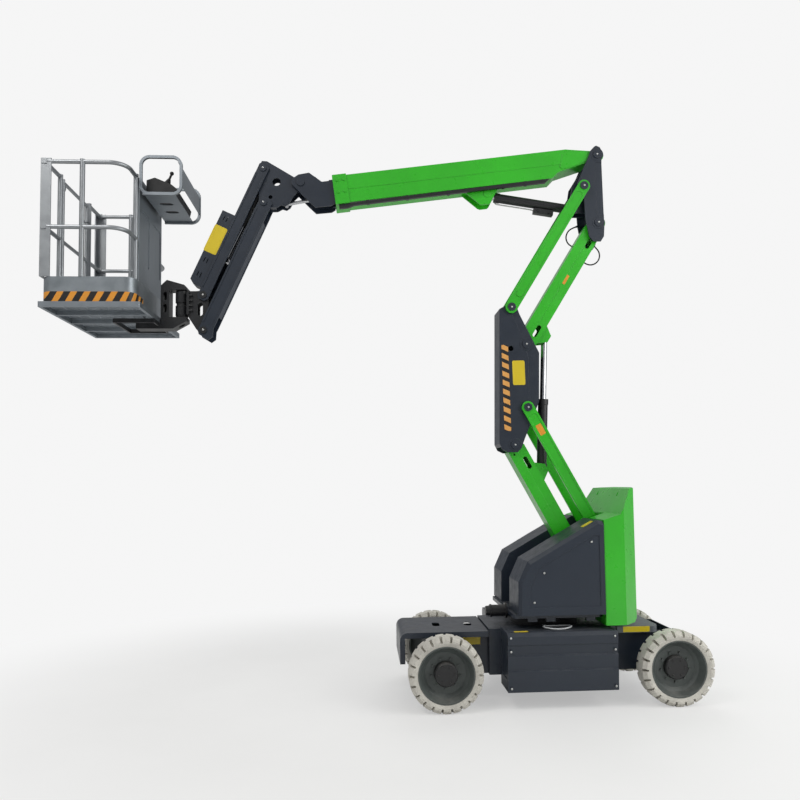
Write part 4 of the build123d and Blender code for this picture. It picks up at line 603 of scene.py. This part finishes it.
SLEW_X = -1.35438         # slewing axis
NIPPLES = (               # piece, node it is laid on, body, then x and z of each pin
    ("mid_upright_nipples", "mid_upright", "mid_upright",
     ((-1.1212, 2.0076), (-1.2292, 2.3146), (-1.2331, 2.8446), (-1.1101, 3.1496))),
    ("top_upright_nipples", "top_upright", "top_upright",
     ((-1.8703, 3.8803), (-1.7473, 4.1853), (-1.8733, 4.4683))),
    ("jib_base_nipples", "jib_base", "jib_base", ((0.9356, 4.0415), (0.9396, 4.3325))),
    ("platform_nipples", "platform_knuckle", "platform_knuckle",
     ((1.4214, 2.9705), (1.4254, 3.2615))),
)
BATTERY_SCREWS = [(SLEW_X + x, z) for x in (-0.395, 0.395) for z in (0.170, 0.440, 0.540)]
HOOD_SCREWS = [(SLEW_X + x, z) for x, z in ((0.200, 0.790), (0.120, 1.010), (-0.250, 1.240))]
BARREL_PIN = Vector((-1.700317, 0, 4.026342))     # boom cylinder's pin on the top upright
ROD_PIN = Vector((-0.937382, 0, 4.13835))         # and its pin on the main boom
PIPE = (                  # m along the cylinder from the barrel's pin and down from its middle
    (0.690, 0.034), (0.684, 0.050), (0.660, 0.0545), (0.56, 0.0545), (0.46, 0.0545),
    (0.385, 0.0545), (0.352, 0.0585))
PIPE_RADIUS = 0.0055      # m
VALVE_PLACE = (0.268, 0.062)      # m along and down, as for the pipe
VALVE_SIZES = (0.170, 0.056, 0.046)
VALVE_PLUGS = (-0.28, 0.24)       # shares of the block's length from its middle
RING_PLACE = (0.009, 0.462)       # m ahead of the slewing axis and to the left
RING_REACH = (0.11, 0.066)        # m, half its length and half its width
RING_LIFT, RING_BOW = 0.007, 0.009        # m, its middle over the box, and its ends over that
RING_RADIUS = 0.006       # m, of its bar
RING_STEPS = 12


def add_screws():
    """Nipples on the pins, and bright screws on the battery boxes and hoods."""
    for name, node, body, pins in NIPPLES:
        for side, end in SIDES:
            studs(f"{name}_{end}", node, body, pins, side)
    for side, end in SIDES:
        studs(f"battery_screws_{end}", f"battery_box_{end}", "chassis", BATTERY_SCREWS, side)
        studs(f"hood_screws_{end}", f"hood_{end}", "turret", HOOD_SCREWS, side)


def add_battery_ring():
    """Pale oval ring on top of the left battery box."""
    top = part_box("battery_box_left")[1].z
    ring = [(SLEW_X + RING_PLACE[0] + RING_REACH[0] * math.cos(a),
             RING_PLACE[1] + RING_REACH[1] * math.sin(a),
             top + RING_LIFT + RING_BOW * math.cos(a) ** 2)
            for a in (math.tau * k / RING_STEPS for k in range(RING_STEPS))]
    tube("battery_box_ring", "chassis", ring, RING_RADIUS, pale_plastic, closed=True)


def add_cylinder_fittings():
    """The boom cylinder's pipe and valve block, on the underside of its barrel."""
    along = (ROD_PIN - BARREL_PIN).normalized()
    under = Vector((along.z, 0, -along.x))

    def beside(run, drop):
        return BARREL_PIN + along * run + under * drop

    pipe = [beside(run, drop) for run, drop in PIPE]
    tube("boom_cylinder_pipe", "boom_cylinder_barrel", pipe, PIPE_RADIUS, zinc)
    valve_block("boom_cylinder_valve", "boom_cylinder_barrel", beside(*VALVE_PLACE), along,
                (0, 1, 0), VALVE_SIZES, black)


add_screws()
add_battery_ring()
add_cylinder_fittings()


# ---------------------------------------------------------------- floor and light
BACKDROP = (0.92, 0.92, 0.92, 1)
SKY = (                   # place on the graded sky, 0 straight down and 1 straight up, and shade
    (0.0, (0.42, 0.41, 0.40, 1)),
    (0.46, (0.30, 0.33, 0.38, 1)),
    (0.62, (0.62, 0.62, 0.62, 1)),
    (1.0, (1.0, 1.0, 1.0, 1)),
)
SKY_STRENGTH = 0.62
FADE_REACH = (1.6, 4.6)   # m from the origin, where the floor's fading begins and ends
FADE_SHARE = (0.45, 1.0)  # how much of the floor is backdrop there
LAMPS = (                 # name, place, power in watts, size in metres and tint
    ("key", (4.4, 5.2, 9.0), 230, 3.2, (1.0, 0.98, 0.95)),
    ("fill", (-6.5, 4.0, 4.5), 250, 5.0, (1.0, 1.0, 0.98)),
    ("back", (-2.0, -6.0, 6.5), 170, 6.0, (1.0, 1.0, 1.0)),
)
LAMP_AIM = Vector((0, 0, 1.8))


def make_world():
    """Even pale backdrop for the camera; a graded sky for light and reflections."""
    world = bpy.data.worlds.new("studio")
    scene.world = world
    world.use_nodes = True
    t = Tree(world.node_tree)
    height = t.split(t.add("ShaderNodeTexCoord").outputs["Generated"])[2]
    grade = t.add("ShaderNodeValToRGB", {0: t.math("MULTIPLY_ADD", height, 0.5, 0.5)})
    stops = grade.color_ramp.elements
    for place, _ in SKY[1:-1]:
        stops.new(place)
    for stop, (_, shade) in zip(stops, SKY):
        stop.color = shade
    sky = t.fill(world.node_tree.nodes["Background"],
                 {"Color": grade.outputs[0], "Strength": SKY_STRENGTH})
    seen = t.add("ShaderNodeBackground", {"Color": BACKDROP})
    surface = t.camera_only(seen.outputs[0], sky.outputs[0])
    t.fill(world.node_tree.nodes["World Output"], {"Surface": surface})


def make_floor():
    """Pale floor that fades into the backdrop away from the machine."""
    n = Finish("floor")
    shade = n.mix(n.patches(1.2, 3), (0.80, 0.80, 0.79, 1), (0.83, 0.83, 0.82, 1))
    n.done(shade, 0.8, **{"Specular IOR Level": 0.2})
    reach = n.add("ShaderNodeVectorMath", {0: n.where}, operation="LENGTH").outputs["Value"]
    fade = n.ramp(reach, *FADE_REACH, *FADE_SHARE)
    fade.node.interpolation_type = "SMOOTHSTEP"
    glow = n.add("ShaderNodeEmission", {"Color": BACKDROP})
    surface = n.camera_only(glow.outputs[0], n.bsdf.outputs[0], fade)
    n.fill(n.tree.nodes["Material Output"], {"Surface": surface})
    bpy.ops.mesh.primitive_plane_add(size=120, location=(0, 0, -0.001))
    floor = bpy.context.object
    floor.name = "floor"
    floor.data.materials.append(n.mat)


def make_lamps():
    """Three area lamps that look at the machine; the back one makes no reflections."""
    for name, place, power, size, tint in LAMPS:
        data = bpy.data.lights.new(name, "AREA")
        data.energy = power
        data.size = size
        data.color = tint
        lamp = bpy.data.objects.new(name, data)
        lamp.location = place
        lamp.visible_glossy = name != "back"
        aim = LAMP_AIM - Vector(place)
        lamp.rotation_euler = aim.to_track_quat("-Z", "Y").to_euler()
        scene.collection.objects.link(lamp)


make_world()
make_floor()
make_lamps()
scene.view_settings.view_transform = "Standard"
